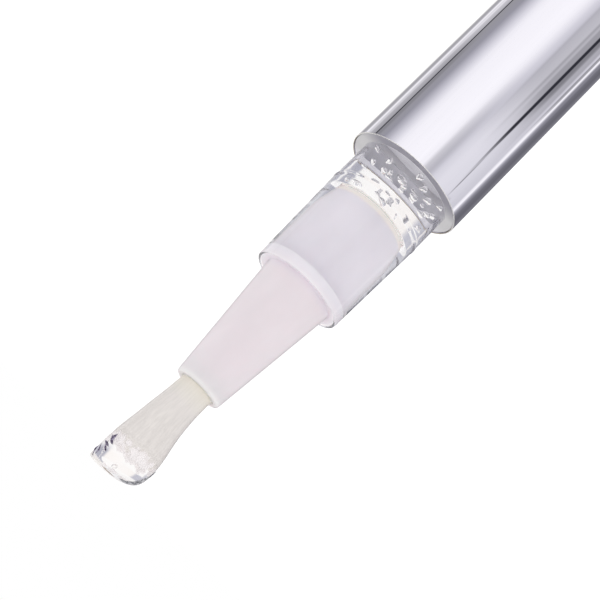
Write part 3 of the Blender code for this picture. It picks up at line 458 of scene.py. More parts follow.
def frosted_plastic(plug, cone):
    """Frosted moulding, cool inside the neck, warmer along the cone, peach at the plug's rear edge, with a
    painted highlight near the cone's tip and painted shade where it turns away.
    """
    made = Finish("frosted_plastic", subsurface_weight=0.85, subsurface_radius=(1.0, 0.9, 0.92))
    made.set("subsurface_scale", 1.1 * MM)
    made.set("specular_ior_level", 0.35)
    cloud = made.noise(0.35, 3.0, stretch=(1, 1, 0.5))
    cool = made.shades(cloud, plug, 0.97, 1.03, low=0.35)
    warm = made.shades(cloud, cone, 0.97, 1.02, low=0.35)
    out = made.height(FLANGE - 0.6 * MM, FLANGE + 0.7 * MM)
    body = made.mix(out, cool, warm)
    rear = made.height(NOSE + 0.64 * MM, NOSE + 0.46 * MM)
    body = made.mix(rear, body, (1.0, 0.87, 0.82))
    # Painted highlight: the cone lighter near its tip
    rim = made.height(HOLDER[1].z - 0.5 * MM, HOLDER[1].z - 0.1 * MM)
    body = made.mix(rim, body, (0.95, 0.87, 0.885))
    # Painted shade: darker where the surface turns away
    edge = made.add("ShaderNodeLayerWeight")
    edge.inputs["Blend"].default_value = 0.5
    painted_edge_shade = made.between(edge.outputs["Facing"], 0.66, 0.98)
    made.color(made.mix(painted_edge_shade, body, tone(cone, 0.66)))
    made.roughness(made.noise(6.0), 0.38, 0.5)
    made.bump(made.noise(14.0, 4.0), 0.006, 0.4)
    return made.material


def wet_fibre(color, bond):
    """Bristles bound together by gel, yellower where the resin holds them."""
    made = Finish("wet_fibre")
    strands = made.noise(7.0, 2.0, stretch=(1, 1, 0.06))
    root = made.height(HOLDER[1].z + 1.9 * MM, HOLDER[1].z - 0.2 * MM)
    made.color(made.mix(root, made.shades(strands, color, 0.93, 1.04), bond))
    made.roughness(strands, 0.35, 0.5)
    made.bump(strands, 0.015, 0.3)
    return made.material


def moulded_plastic(name, color, roughness=0.4):
    """Plain moulded plastic with a fine grain and slight flow shading."""
    made = Finish(name)
    flow = made.noise(0.6, 3.0, distortion=0.8)
    made.color(made.shades(flow, color, 0.94, 1.04))
    made.roughness(flow, roughness - 0.05, roughness + 0.07)
    made.bump(made.noise(18.0, 2.0), 0.003, 0.4)
    return made.material


def spring_steel():
    """Bare spring wire, brushed round."""
    made = Finish("spring_steel", metallic=1.0)
    grain = made.noise(6.0, 3.0, stretch=(1, 1, 8))
    made.color(made.ramp(grain, (0.3, (0.50, 0.50, 0.52)), (0.7, (0.66, 0.66, 0.68))))
    made.roughness(grain, 0.25, 0.4)
    made.bump(grain, 0.003, 0.4)
    return made.material


def soften(corners, steps=5):
    """Rounds the (radius, height, rounding) corners of an outline, with a point that holds each flat."""
    outline = []
    for number, (radius, height, rounding) in enumerate(corners):
        here = Vector((radius, height))
        if not rounding:
            outline.append(here)
            continue
        before = Vector(corners[number - 1][:2]) - here
        after = Vector(corners[(number + 1) % len(corners)][:2]) - here
        before *= min(rounding / before.length, 0.45)
        after *= min(rounding / after.length, 0.45)
        outline.append(here + before * 1.1)
        for step in range(steps + 1):
            along = step / steps
            outline.append(here + before * (1 - along) ** 2 + after * along**2)
        outline.append(here + after * 1.1)
    return outline


def piece_of(name, shape, materials, sharp_degrees=35):
    """Turns the built mesh into a piece in the scene, shaded smooth up to the sharp angle."""
    bmesh.ops.recalc_face_normals(shape, faces=shape.faces)
    mesh = bpy.data.meshes.new(name)
    shape.to_mesh(mesh)
    shape.free()
    for material in materials:
        mesh.materials.append(material)
    mesh.shade_smooth()
    mesh.set_sharp_from_angle(angle=math.radians(sharp_degrees))
    piece = bpy.data.objects.new(name, mesh)
    bpy.context.scene.collection.objects.link(piece)
    return piece


def around(sides):
    """The angles of a ring's points."""
    return [2 * math.pi * side / sides for side in range(sides)]


def revolved(name, outline, materials, sides=128, slot_of=None, shift=None):
    """A turned piece: the outline goes round the pen's axis. Slots follow each face's middle."""
    shape = bmesh.new()
    rings = []
    for radius, height in outline:
        if radius < MM / 1000:
            rings.append([shape.verts.new((0, 0, height))])
            continue
        ring = []
        for angle in around(sides):
            out, up = shift(radius, height, angle) if shift else (radius, height)
            ring.append(shape.verts.new((out * math.cos(angle), out * math.sin(angle), up)))
        rings.append(ring)
    pairs = list(zip(rings, rings[1:]))
    if len(rings[0]) > 1 and len(rings[-1]) > 1:
        pairs.append((rings[-1], rings[0]))
    for first, second in pairs:
        for side in range(sides):
            after = (side + 1) % sides
            corners = [first[side % len(first)], first[after % len(first)]]
            corners += [second[after % len(second)], second[side % len(second)]]
            face = shape.faces.new(list(dict.fromkeys(corners)))
            if slot_of:
                middle = face.calc_center_median()
                face.material_index = slot_of(math.hypot(middle.x, middle.y), middle.z)
    return piece_of(name, shape, materials)


def loft(shape, rings):
    """Joins each ring of points to the next with faces."""
    for first, second in zip(rings, rings[1:]):
        for side in range(len(first)):
            after = (side + 1) % len(first)
            shape.faces.new((first[side], first[after], second[after], second[side]))


def fan(shape, ring, hub):
    """Joins a ring of points to one in its middle."""
    for side, point in enumerate(ring):
        shape.faces.new((point, ring[(side + 1) % len(ring)], hub))


def rod(shape, rings):
    """Joins rings of points into a closed rod."""
    loft(shape, rings)
    shape.faces.new(rings[0])
    shape.faces.new(rings[-1])


def ring_round(shape, centre, across, up, sides):
    """A ring of points round a centre, along two half axes."""
    places = [centre + across * math.cos(angle) + up * math.sin(angle) for angle in around(sides)]
    return [shape.verts.new(place) for place in places]


def reading(table, place):
    """The value of a table of (place, value) rows at a place, in straight lines between rows."""
    for (low, first), (high, second) in zip(table, table[1:]):
        if place <= high:
            share_along = max(0.0, (place - low) / (high - low))
            return first + (second - first) * share_along
    return table[-1][1]


def brush_half_width(over_mouth):
    return reading(BRUSH_WIDTHS, over_mouth / MM) * MM


def brush_lean(over_mouth):
    return reading(BRUSH_LEANS, over_mouth / MM) * MM


class PenOperator:
    """What the pen's operators share."""

    bl_options = {"REGISTER", "UNDO"}


class PEN_OT_stage(PenOperator, bpy.types.Operator):
    """Sets up the camera, the studio light and the pale floor"""

    bl_idname = "pen.stage"
    bl_label = "Stage"

    def execute(self, context):
        studio = context.scene.pen_studio
        context.scene.view_settings.view_transform = "Standard"
        self.add_camera(context, studio)
        self.add_light(context, studio)
        self.add_floor(studio)
        return {"FINISHED"}

    def add_camera(self, context, studio):
        lens = bpy.data.cameras.new("camera")
        lens.lens = studio.lens
        lens.clip_start = 2 * MM
        camera = bpy.data.objects.new("camera", lens)
        context.scene.collection.objects.link(camera)
        back = Vector(CAMERA_BACK).normalized()
        up = back.cross(Vector(CAMERA_RIGHT).normalized()).normalized()
        right = up.cross(back)
        place = Vector((-studio.camera_side, -studio.camera_back, BARREL[1].z + studio.camera_up))
        turn = Matrix((right, up, back)).transposed()
        camera.matrix_world = Matrix.Translation(place) @ turn.to_4x4()
        context.scene.camera = camera

    def add_light(self, context, studio):
        """Soft boxes and flags all round, which shine in the metal and bend in the clear pieces."""
        world = bpy.data.worlds.new("studio")
        world.use_nodes = True
        context.scene.world = world
        world.node_tree.nodes.clear()
        sky = Nodes(world.node_tree)
        split = sky.add("ShaderNodeSeparateXYZ")
        sky.wire(sky.add("ShaderNodeTexCoord").outputs["Generated"], split.inputs["Vector"])
        across, deep, height = split.outputs
        azimuth = sky.math("ARCTAN2", across, sky.math("MULTIPLY", deep, -1.0))
        turn = sky.math("MULTIPLY_ADD", azimuth, 0.5 / math.pi, 0.5)
        down = sky.math("MULTIPLY", height, -1.0)
        lit = self.cards_and_flags(sky, azimuth, turn, down)
        through = self.clear_view(sky, turn, down)
        # The cards show in metal, clear pieces show what lies behind them, and matt surfaces get
        # the plain light
        path = sky.add("ShaderNodeLightPath").outputs
        lit = sky.mix(path["Is Transmission Ray"], lit, through)
        steep = sky.smooth(sky.math("ABSOLUTE", height), 0.72, 0.95)
        lit = sky.mix(steep, lit, (0.9, 0.9, 0.92))
        mirrored = sky.math("MAXIMUM", path["Is Glossy Ray"], path["Is Transmission Ray"])
        direct = sky.math("LESS_THAN", path["Diffuse Depth"], 0.5)
        lit = sky.mix(sky.math("MULTIPLY", mirrored, direct), (studio.daylight,) * 3, lit)
        lit = sky.mix(path["Is Camera Ray"], lit, (1, 1, 1))
        light = sky.add("ShaderNodeBackground")
        sky.wire(lit, light.inputs["Color"])
        sky.wire(light.outputs[0], sky.add("ShaderNodeOutputWorld").inputs["Surface"])

    def cards_and_flags(self, sky, azimuth, turn, down):
        """The round of soft boxes, the back card past its end, and the flags and stands before them."""
        cards = []
        for degrees, level in STUDIO_CARDS:
            blue = 1 + (0.16 if degrees < 105 else 0.05) * (1 - min(level, 1))
            cards.append(((degrees + 180) / 360, (level, level * 0.985, level * blue)))
        lit = sky.ramp(turn, *cards)
        (first, last), card = BACK_CARD
        lit = sky.mix(sky.smooth(azimuth, math.radians(first), math.radians(last)), lit, card)

        def flag(behind, degrees, half_width, strength, core=0.4):
            aside = sky.math("ABSOLUTE", sky.math("ADD", azimuth, math.radians(-degrees)))
            width = sky.math("MULTIPLY", half_width, math.radians(1))
            near = sky.smooth(sky.math("DIVIDE", aside, width), 1.0, core)
            return sky.mix(sky.math("MULTIPLY", near, strength), behind, FLAG_COLOUR)

        bands = {name: sky.smooth(down, *limits) for name, limits in BANDS.items()}
        for degrees, half_width, core, band, above, below in FLAGS:
            depth = sky.math("MULTIPLY_ADD", bands[band], below - above, above)
            lit = flag(lit, degrees, half_width, depth, core)
        # A dark stand, thin and faint at its top and wider and darker further down
        top = sky.math("MULTIPLY", sky.smooth(down, 0.40, 0.415), sky.smooth(down, 0.445, 0.42))
        lit = flag(lit, -71.7, 1.6, sky.math("MULTIPLY", top, 0.6))
        foot = sky.smooth(down, 0.41, 0.46)
        lit = flag(lit, -69, sky.math("MULTIPLY_ADD", foot, 3.4, 1.2), foot)
        # A thin dark stand on the right
        lit = flag(lit, 108.3, 2.2, 0.97)
        # A small dark stand that shows in the metal beside the rim
        beside = sky.math("MULTIPLY", sky.smooth(down, 0.4045, 0.4015), sky.smooth(down, 0.3945, 0.397))
        return flag(lit, -73, 11.0, sky.math("MULTIPLY", beside, 0.45), core=0.5)

    def clear_view(self, sky, turn, down):
        """What shows through the clear pieces; on the right, the heights that the neck shows stay dim."""
        through = sky.ramp(turn, *(((degrees + 180) / 360, color) for degrees, color in CLEAR_VIEW))
        high_up = sky.smooth(down, 0.22, 0.14)
        through = sky.mix(high_up, through, CLEAR_HIGH)
        under = sky.math("MULTIPLY", sky.smooth(turn, 0.075, 0.067), sky.smooth(down, 0.31, 0.36))
        through = sky.mix(under, through, CLEAR_SKY)
        past_neck = sky.math("MAXIMUM", sky.smooth(down, 0.28, 0.24), sky.smooth(down, 0.43, 0.49))
        right = sky.math("MULTIPLY", sky.smooth(turn, 0.870, 0.900), past_neck)
        return sky.mix(right, through, CLEAR_SKY)

    def add_floor(self, studio):
        """The pale floor, which glows for the camera alone."""
        shape = bmesh.new()
        bmesh.ops.create_circle(shape, cap_ends=True, segments=96, radius=studio.floor_radius)
        made = Finish("pale_floor", base=(*studio.floor, 1), roughness=0.9)
        made.set("specular_ior_level", 0.0)
        glow = made.add("ShaderNodeEmission")
        glow.inputs["Strength"].default_value = 0.32
        made.wire(made.add("ShaderNodeLightPath").outputs["Is Camera Ray"], glow.inputs["Color"])
        both = made.add("ShaderNodeAddShader")
        for target, source in zip(both.inputs, (made.shader, glow)):
            made.wire(source.outputs[0], target)
        made.surface(both.outputs[0])
        floor = piece_of("floor", shape, [made.material])
        floor.visible_glossy = False
        floor.visible_transmission = False


class PEN_OT_barrel(PenOperator, bpy.types.Operator):
    """Builds the mirror sleeve with its cut edge"""

    bl_idname = "pen.barrel"
    bl_label = "Barrel"

    def execute(self, context):
        sizes, colours = context.scene.pen_sizes, context.scene.pen_colours
        low, high = BARREL[0].z, BARREL[1].z
        outer, inner = sizes.barrel_radius, sizes.barrel_radius - sizes.barrel_wall
        # Width of the painted gap shadow inside the cut edge, and the edge's bevel
        shadow_band, bevel = 0.03 * MM, 0.04 * MM
        outline = soften([
            (inner, high - bevel, 0), (inner + shadow_band, high, 0),
            (outer, high, 0.06 * MM), (outer, low, 0.12 * MM), (inner, low, 0),
        ])

        # Slot 2 is the painted gap shadow along the inner edge, slot 1 the bare cut edge
        def slot_of(radius, height):
            if height > high - 0.03 * MM and radius < inner + shadow_band:
                return 2
            return 1 if height > high - 0.045 * MM and radius > inner else 0

        looks = [mirror_metal("mirror_metal", colours.metal), cut_metal(colours.cut_edge), gap_shadow_line()]
        sleeve = revolved("barrel_skin", outline, looks, sides=192, slot_of=slot_of)
        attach(sleeve, "barrel")
        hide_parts("barrel_sleeve")
        return {"FINISHED"}


class PEN_OT_knob(PenOperator, bpy.types.Operator):
    """Builds the turning knob's skin and the plug in its end"""

    bl_idname = "pen.knob"
    bl_label = "Knob"

    def execute(self, context):
        sizes, colours = context.scene.pen_sizes, context.scene.pen_colours
        low, high = KNOB[0].z, KNOB[1].z
        outer, inner = sizes.barrel_radius, sizes.barrel_radius - sizes.barrel_wall
        outline = soften([
            (inner, high, 0), (outer, high, 0.12 * MM), (outer, low, 0.12 * MM), (inner, low, 0),
        ])
        metal = mirror_metal("mirror_metal_knob", colours.metal)
        skin = revolved("knob_skin", outline, [metal], sides=192)
        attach(skin, "knob")
        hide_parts("knob_sleeve")
        flange, top = 0.9 * MM, PLUG[1].z
        edge, spigot, spigot_bore = PLUG[1].x, 4.1 * MM, 3.3 * MM
        groove_out, groove_in, slope, sunk = edge - 0.9 * MM, edge - 1.7 * MM, 0.2 * MM, 0.12 * MM
        foot = soften([
            (0, flange, 0), (spigot_bore, flange, 0), (spigot_bore, top, 0),
            (spigot, top, 0.15 * MM), (spigot, flange, 0), (edge, flange, 0.12 * MM),
            (edge, 0, 0.25 * MM), (groove_out, 0, 0.12 * MM), (groove_out - slope, sunk, 0.08 * MM),
            (groove_in + slope, sunk, 0.08 * MM), (groove_in, 0, 0.12 * MM), (0, 0, 0),
        ])
        silver = moulded_plastic("silver_plastic", (0.66, 0.66, 0.70), 0.28)
        plug = revolved("knob_end", foot, [silver])
        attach(plug, "knob")
        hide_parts("end_plug")
        return {"FINISHED"}


class PEN_OT_clear_neck(PenOperator, bpy.types.Operator):
    """Builds the clear reservoir with its neck, snap bead and lip"""

    bl_idname = "pen.clear_neck"
    bl_label = "Clear neck"

    def execute(self, context):
        sizes, colours = context.scene.pen_sizes, context.scene.pen_colours
        rim, lip = BARREL[1].z, BODY[1].z
        shoulder = rim - SHOULDER_DEPTH
        body, bore = BODY[1].x, CHARGE[1].x + 0.1 * MM
        ledge = sizes.barrel_radius - sizes.barrel_wall - SHOULDER_GAP
        # The clear body runs a little way into the holder and past the gel, so that no gap shows
        into_holder, past_gel = 0.02 * MM, 0.12 * MM
        seat = sizes.flange_radius - into_holder
        inside_flange = FLANGE - into_holder
        floor = NECK_GEL[0].z - past_gel
        outline = soften([
            (0, inside_flange, 0), (seat, inside_flange, 0), (seat, lip, 0.10 * MM),
            (LIP_RADIUS, lip, 0.12 * MM), (NECK_RADIUS, rim + NECK_STRAIGHT, 1.2 * MM),
            (NECK_RADIUS, rim + BEAD_PLACE + BEAD_HALF, 0.1 * MM),
            (NECK_RADIUS + BEAD_PROUD, rim + BEAD_PLACE, 0.2 * MM),
            (NECK_RADIUS, rim + BEAD_PLACE - BEAD_HALF, 0.1 * MM),
            (NECK_RADIUS, shoulder, BASE_FILLET), (ledge, shoulder, 0.1 * MM),
            (ledge, rim - SHOULDER_HEIGHT, 0), (body, rim - SHOULDER_HEIGHT, 0),
            (body, BODY[0].z, 0), (bore, BODY[0].z, 0), (bore, floor, 0), (0, floor, 0),
        ])

        def slot_of(radius, height):
            inside = radius < NECK_RADIUS and height > floor + MM / 100
            return 0 if inside or height > shoulder + MM / 50 else 1

        looks = [clear_plastic(colours.clear), satin_lining(colours.lining, colours.shoulder)]
        neck = revolved("clear_reservoir", outline, looks, sides=160, slot_of=slot_of)
        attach(neck, "barrel")
        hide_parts("reservoir_body")
        return {"FINISHED"}


class PEN_OT_gel(PenOperator, bpy.types.Operator):
    """Builds the gel in the neck with its air bubbles, and the charge that the piston pushes"""

    bl_idname = "pen.gel"
    bl_label = "Gel and bubbles"

    def execute(self, context):
        sizes, colours = context.scene.pen_sizes, context.scene.pen_colours
        into_nose, funnel = 0.12 * MM, 1.6 * MM
        top, bottom = NOSE + into_nose, NECK_GEL[0].z
        outline = soften([
            (0, top, 0), (sizes.gel_bore, top, 0.15 * MM), (sizes.gel_bore, bottom + funnel, 0.5 * MM),
            (NECK_GEL[1].x, bottom, 0), (0, bottom, 0),
        ])
        look = clear_gel("neck_gel", colours.gel, GEL_INDEX / PLASTIC_INDEX)
        column = revolved("gel_column", outline, [look], sides=96)
        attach(column, "barrel")
        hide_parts("gel_neck")
        self.add_bubbles(sizes)
        self.add_charge(colours)
        return {"FINISHED"}

    def add_bubbles(self, sizes):
        """Air along the neck's wall: placed bubbles in front and random ones at the far side."""
        pick = random.Random(11)
        ring = sizes.gel_bore - 0.32 * MM
        places = []
        for table, tilt, flat in ((GEL_BUBBLES, -0.7, 0.6), (GEL_LEAVES, 0.95, 0.32)):
            for aside, past, radius, lean in table:
                angle, height = self.behind(aside, past, sizes.gel_bore, ring)
                places.append((angle, height, radius, lean, tilt + pick.uniform(-0.12, 0.12), flat))
        far_side = 16
        for number in range(far_side):
            angle = math.radians(20 + 140 * (number + pick.random()) / far_side)
            radius, lean = pick.uniform(0.10, 0.19), pick.uniform(0, 90)
            places.append((angle, pick.uniform(-1.0, 4.0), radius, lean, pick.uniform(-0.7, 0.7), 0.65))
        shape = bmesh.new()
        for angle, past, radius, lean, tilt, flat in places:
            spot = Vector((math.cos(angle) * ring, math.sin(angle) * ring, BARREL[1].z + past * MM))
            turn = Matrix.Rotation(angle, 3, "Z") @ Matrix.Rotation(-math.radians(lean), 3, "X")
            turn @= Matrix.Rotation(tilt, 3, "Y")
            self.add_drop(shape, spot, 1.25 * radius * MM, turn, flat, pick)
        bubbles = piece_of("gel_bubbles", shape, [bubble_skin()])
        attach(bubbles, "barrel")

    def behind(self, aside, past, bore, ring):
        """Angle and height in the gel of what shows at a place on the neck, bent by plastic and gel."""
        plastic, gel = aside * MM / PLASTIC_INDEX, aside * MM / GEL_INDEX
        turned = math.asin(aside * MM / NECK_RADIUS) - math.asin(plastic / NECK_RADIUS)
        turned += math.asin(plastic / bore) - math.asin(gel / bore)
        reach = max(-1.0, min(1.0, gel / ring))
        depth = math.sqrt(NECK_RADIUS**2 - plastic**2) - ring * math.sqrt(1 - reach**2)
        return turned + math.asin(reach) - math.pi / 2, past - SIGHT_DROP * depth / MM

    def add_drop(self, shape, spot, radius, turn, flat, pick):
        """A slightly crumpled teardrop of air, flattened towards the neck's wall before it is turned."""
        made = bmesh.ops.create_uvsphere(shape, u_segments=20, v_segments=14, radius=1.0)
        squeeze, tail = flat * pick.uniform(0.85, 1.15), pick.uniform(0.4, 1.0)
        crumple, phase = pick.uniform(0.04, 0.12), pick.uniform(0, 6)
        for point in made["verts"]:
            x, y, z = point.co
            dent = crumple * math.sin(5 * y + phase) * math.cos(4 * z - phase)
            narrow = 1 - 0.45 * max(0.0, z) ** 1.5 + dent
            point.co = Vector((x * narrow * squeeze, y * narrow, z * (1 + tail * max(0.0, z)))) * radius
            point.co = spot + turn @ point.co

    def add_charge(self, colours):
        """The gel in the barrel, which gets shorter as the piston climbs."""
        low, high, radius = CHARGE[0].z, CHARGE[1].z, CHARGE[1].x
        nose = 0.8 * MM
        outline = soften([
            (0, high, 0), (radius, high, 0.1 * MM), (radius, low + nose, 0.1 * MM),
            (radius - nose, low, 0.1 * MM), (0, low, 0),
        ])
        charge = revolved("gel_fill", outline, [clear_gel("barrel_gel", colours.gel, GEL_INDEX)], sides=64)
        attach(charge, "barrel")
        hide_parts("gel_charge")
        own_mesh(charge)


class PEN_OT_holder(PenOperator, bpy.types.Operator):
    """Builds the frosted plug, flange and cone that hold the brush"""

    bl_idname = "pen.holder"
    bl_label = "Brush holder"

    def execute(self, context):
        sizes, colours = context.scene.pen_sizes, context.scene.pen_colours
        low, mouth = NOSE, HOLDER[1].z
        thick, bore, well, lip = 0.9 * MM, 1.62 * MM, 1.2 * MM, 0.3 * MM
        under, top = FLANGE - thick, FLANGE
        root, tip = sizes.cone_root_radius, sizes.cone_tip_radius
        outline = soften([
            (0, mouth - well, 0), (bore, mouth - well, 0), (bore, mouth, 0.12 * MM),
            (tip, mouth, lip), (root, top + 0.12 * MM, 0), (root + 0.03 * MM, top, 0.10 * MM),
            (sizes.flange_radius, top, 0.08 * MM), (sizes.flange_radius, under, 0),
            (sizes.skirt_radius, under, 0.1 * MM),
            (sizes.skirt_radius - 0.05 * MM, low + NOSE_LENGTH, 0.8 * MM),
            (sizes.nose_radius, low, 0.06 * MM), (0, low, 0),
        ])

        def serrate(radius, height, angle):
            """Fine moulded teeth where the cone meets the flange."""
            if abs(height - top) < 0.05 * MM and root < radius < sizes.flange_radius - 0.06 * MM:
                return radius, height + 0.02 * MM * math.cos(64 * angle)
            return radius, height

        look = frosted_plastic(colours.plug, colours.cone)
        holder = revolved("brush_cone", outline, [look], sides=256, shift=serrate)
        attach(holder, "barrel")
        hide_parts("brush_holder")
        return {"FINISHED"}


class PEN_OT_brush(PenOperator, bpy.types.Operator):
    """Builds the bristles, bound into one soft tuft, and the resin at their root"""

    bl_idname = "pen.brush"
    bl_label = "Brush"

    def execute(self, context):
        sizes, colours = context.scene.pen_sizes, context.scene.pen_colours
        self.mouth = HOLDER[1].z
        look = wet_fibre(colours.fibre, colours.bond)
        shape = bmesh.new()
        self.add_core(shape)
        self.add_fibres(shape, sizes)
        self.add_bond(colours)
        tuft = piece_of("bristles", shape, [look], sharp_degrees=60)
        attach(tuft, "barrel")
        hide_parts("brush_tuft")
        return {"FINISHED"}

    def add_bond(self, colours):
        """The resin that seals the bristles into the cone's mouth."""
        bore, root, deep = 1.615 * MM, 1.35 * MM, 0.9 * MM
        outline = soften([
            (root, self.mouth + 0.16 * MM, 0), (root + 0.12 * MM, self.mouth + 0.06 * MM, 0.06 * MM),
            (bore, self.mouth - 0.04 * MM, 0), (bore, self.mouth - deep, 0), (root, self.mouth - deep, 0),
        ])
        resin = Finish("bond_resin", subsurface_weight=0.6, subsurface_radius=(1.0, 0.9, 0.7))
        resin.set("subsurface_scale", 0.4 * MM)
        cloud = resin.noise(2.5)
        resin.color(resin.shades(cloud, colours.bond, 0.95, 1.05))
        resin.roughness(cloud, 0.2, 0.35)
        resin.bump(cloud, 0.01, 0.3)
        bond = revolved("bond_ring", outline, [resin.material], sides=96)
        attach(bond, "barrel")

    def add_core(self, shape):
        """The wet middle of the tuft, fluted along the bristles."""
        sides, rows, fill = 96, 24, 0.99
        sunk, reach = 1.0 * MM, 6.3 * MM
        rings = []
        for row in range(rows + 1):
            over = -sunk + (reach + sunk) * row / rows
            wide = brush_half_width(max(over, 0)) * fill
            ring = []
            for angle in around(sides):
                flute = 1 + 0.006 * math.sin(23 * angle) + 0.005 * math.sin(37 * angle + 1)
                x = brush_lean(max(over, 0)) + wide * flute * math.cos(angle)
                ring.append(shape.verts.new((x, wide * flute * math.sin(angle), self.mouth + over)))
            rings.append(ring)
        loft(shape, rings)
        shape.faces.new(rings[0])
        centre = shape.verts.new((0, 0, self.mouth + reach + 1.2 * MM))
        inner = [shape.verts.new((v.co.x * 0.6, v.co.y * 0.6, v.co.z + 0.75 * MM)) for v in rings[-1]]
        loft(shape, (rings[-1], inner))
        fan(shape, inner, centre)

    def add_fibres(self, shape, sizes):
        """Single bristles, spread evenly over the tuft, that drift a little and end in clumps."""
        pick = random.Random(5)
        steps, sides, sunk = 8, 5, 0.5 * MM
        golden = math.pi * (3 - math.sqrt(5))
        for number in range(sizes.fibre_count):
            out = math.sqrt((number + 0.5) / sizes.fibre_count)
            angle = number * golden + pick.uniform(-0.05, 0.05)
            clump = 0.16 * math.sin(7 * angle + 9 * out) + 0.12 * math.sin(17 * angle)
            full = (7.3 - 1.05 * out**2.2 + clump - 0.35 * pick.random()) * MM
            drift = pick.uniform(-0.05, 0.05)
            rings = []
            for step in range(steps + 1):
                over = -sunk + (full + sunk) * step / steps
                climb = max(0.0, over / full)
                wide = brush_half_width(max(over, 0)) * 0.97 * out * (1 - 0.03 * climb)
                way = angle + drift * climb**2
                centre = Vector((
                    brush_lean(max(over, 0)) + wide * math.cos(way), wide * math.sin(way), self.mouth + over
                ))
                thick = sizes.fibre_radius * (1 - 0.45 * climb**3)
                rings.append(ring_round(shape, centre, Vector((thick, 0, 0)), Vector((0, thick, 0)), sides))
            rod(shape, rings)


class PEN_OT_gel_bead(PenOperator, bpy.types.Operator):
    """Builds the clear gel that wets the bristles and stands as a blunt bead on their ends"""

    bl_idname = "pen.gel_bead"
    bl_label = "Gel bead"

    def execute(self, context):
        colours = context.scene.pen_colours
        self.mouth, self.tip = HOLDER[1].z, BEAD[1].z
        shape = bmesh.new()
        sides = 72
        rings = []
        for over, left, right, tilt in self.edges():
            middle, wide = (left + right) / 2, (right - left) / 2
            ring = []
            for angle in around(sides):
                up = self.mouth + (over + tilt * math.cos(angle)) * MM
                x, y = middle + wide * math.cos(angle), wide * math.sin(angle)
                ring.append(shape.verts.new((x * MM, y * MM, min(up, self.tip))))
            rings.append(ring)
        loft(shape, rings)
        for ring in (rings[0], rings[-1]):
            fan(shape, ring, shape.verts.new(sum((point.co for point in ring), Vector()) / sides))
        bead = piece_of("gel_bead", shape, [clear_gel("bead_gel", colours.gel, GEL_INDEX)], sharp_degrees=80)
        finer = bead.modifiers.new("Smooth", "SUBSURF")
        finer.levels = finer.render_levels = 1
        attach(bead, "barrel")
        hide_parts("gel_tip")
        self.add_lumps()
        self.add_air()
        # The ridges, the top line and the crescent are opaque and coloured with painted reflections
        violet = ridge_painted_reflection("ridge_painted_reflection", (0.05, 0.035, 0.07), (0.36, 0.32, 0.44))
        self.add_folds("gel_folds", GEL_FOLDS, violet)
        brown = ridge_painted_reflection("front_line_painted_reflection", (0.33, 0.25, 0.20), (0.50, 0.42, 0.35))
        self.add_folds("gel_front_line", FRONT_LINE, brown)
        grey = ridge_painted_reflection("crescent_painted_reflection", (0.23, 0.23, 0.25), (0.60, 0.60, 0.63))
        self.add_folds("gel_crescent", CRESCENT, grey)
        return {"FINISHED"}

    def edges(self):
        """Rows of height over the mouth, left edge, right edge and tilt to the right, in millimetres."""
        film = []
        for over in (0.02, 0.3, 0.9, 1.5, 2.1, 2.8, 3.5, 4.2, 4.8):
            lean, wide = reading(BRUSH_LEANS, over), reading(BRUSH_WIDTHS, over)
            film.append((over, lean - wide, lean + wide, 0.0))
        return film + [
            (5.4, -2.04, 2.12, 0.0), (6.0, -2.15, 2.19, 0.0), (6.7, -2.23, 2.245, 0.0),
            (7.4, -2.25, 2.27, 0.02), (8.0, -2.20, 2.28, 0.05), (8.45, -2.08, 2.28, 0.10),
            (8.8, -1.86, 2.275, 0.16), (9.05, -1.58, 2.26, 0.18), (9.22, -1.22, 2.20, 0.16),
            (9.30, -0.70, 1.95, 0.12), (9.33, 0.0, 1.2, 0.06),
        ]

    def add_folds(self, name, folds, look):
        """Thin ridges of gel that stand on the bead's skin, pointed at both ends."""
        shape = bmesh.new()
        sides, steps, reach = 8, 14, 0.06
        for thick, *places in folds:
            spots = [self.on_skin(aside, deep, over) for aside, deep, over in places]
            marks = [(number / (len(spots) - 1), spot) for number, spot in enumerate(spots)]
            rings = []
            for step in range(steps + 1):
                along = step / steps
                centre = reading(marks, along)
                run = reading(marks, min(1, along + reach)) - reading(marks, max(0, along - reach))
                side = run.cross(Vector((0, -1, 0))).normalized()
                up = side.cross(run.normalized())
                half = thick * MM * max(0.08, math.sin(math.pi * along) ** 0.7)
                rings.append(ring_round(shape, centre, half * side, 0.6 * half * up, sides))
            rod(shape, rings)
        ridges = piece_of(name, shape, [look], sharp_degrees=80)
        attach(ridges, "barrel")

    def on_skin(self, aside, deep, over):
        """A place on the bead, kept just under its highest point."""
        return Vector((aside * MM, deep * MM, min(self.mouth + over * MM, self.tip - 0.02 * MM)))

    def add_lumps(self):
        """Soft milky lumps where the bristles end in the gel."""
        pick = random.Random(8)
        shape = bmesh.new()
        lump_count = 120
        for _ in range(lump_count):
            reach, angle = 1.75 * math.sqrt(pick.random()), pick.uniform(0, 2 * math.pi)
            over = 6.35 + 1.35 * pick.random() - 0.3 * reach
            aside, deep = reach * math.cos(angle) * MM, reach * math.sin(angle) * MM
            spot = Vector((aside, deep, self.mouth + over * MM))
            size = Vector((pick.uniform(0.12, 0.30), pick.uniform(0.12, 0.25), pick.uniform(0.2, 0.45))) * MM
            made = bmesh.ops.create_icosphere(shape, subdivisions=3, radius=1.0)
            for point in made["verts"]:
                swell = 1 + 0.25 * math.sin(4 * point.co.x + angle) * math.sin(5 * point.co.y)
                point.co = spot + Vector(part * grow * swell for part, grow in zip(point.co, size))
        look = Finish("milky_gel", base=(1.0, 0.955, 0.962, 1), transmission_weight=0.1, ior=1.06)
        look.roughness(look.noise(4.0), 0.3, 0.5)
        look.bump(look.noise(7.0), 0.02, 0.4)
        let_light_in(look)
        lumps = piece_of("gel_lumps", shape, [look.material], sharp_degrees=80)
        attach(lumps, "barrel")

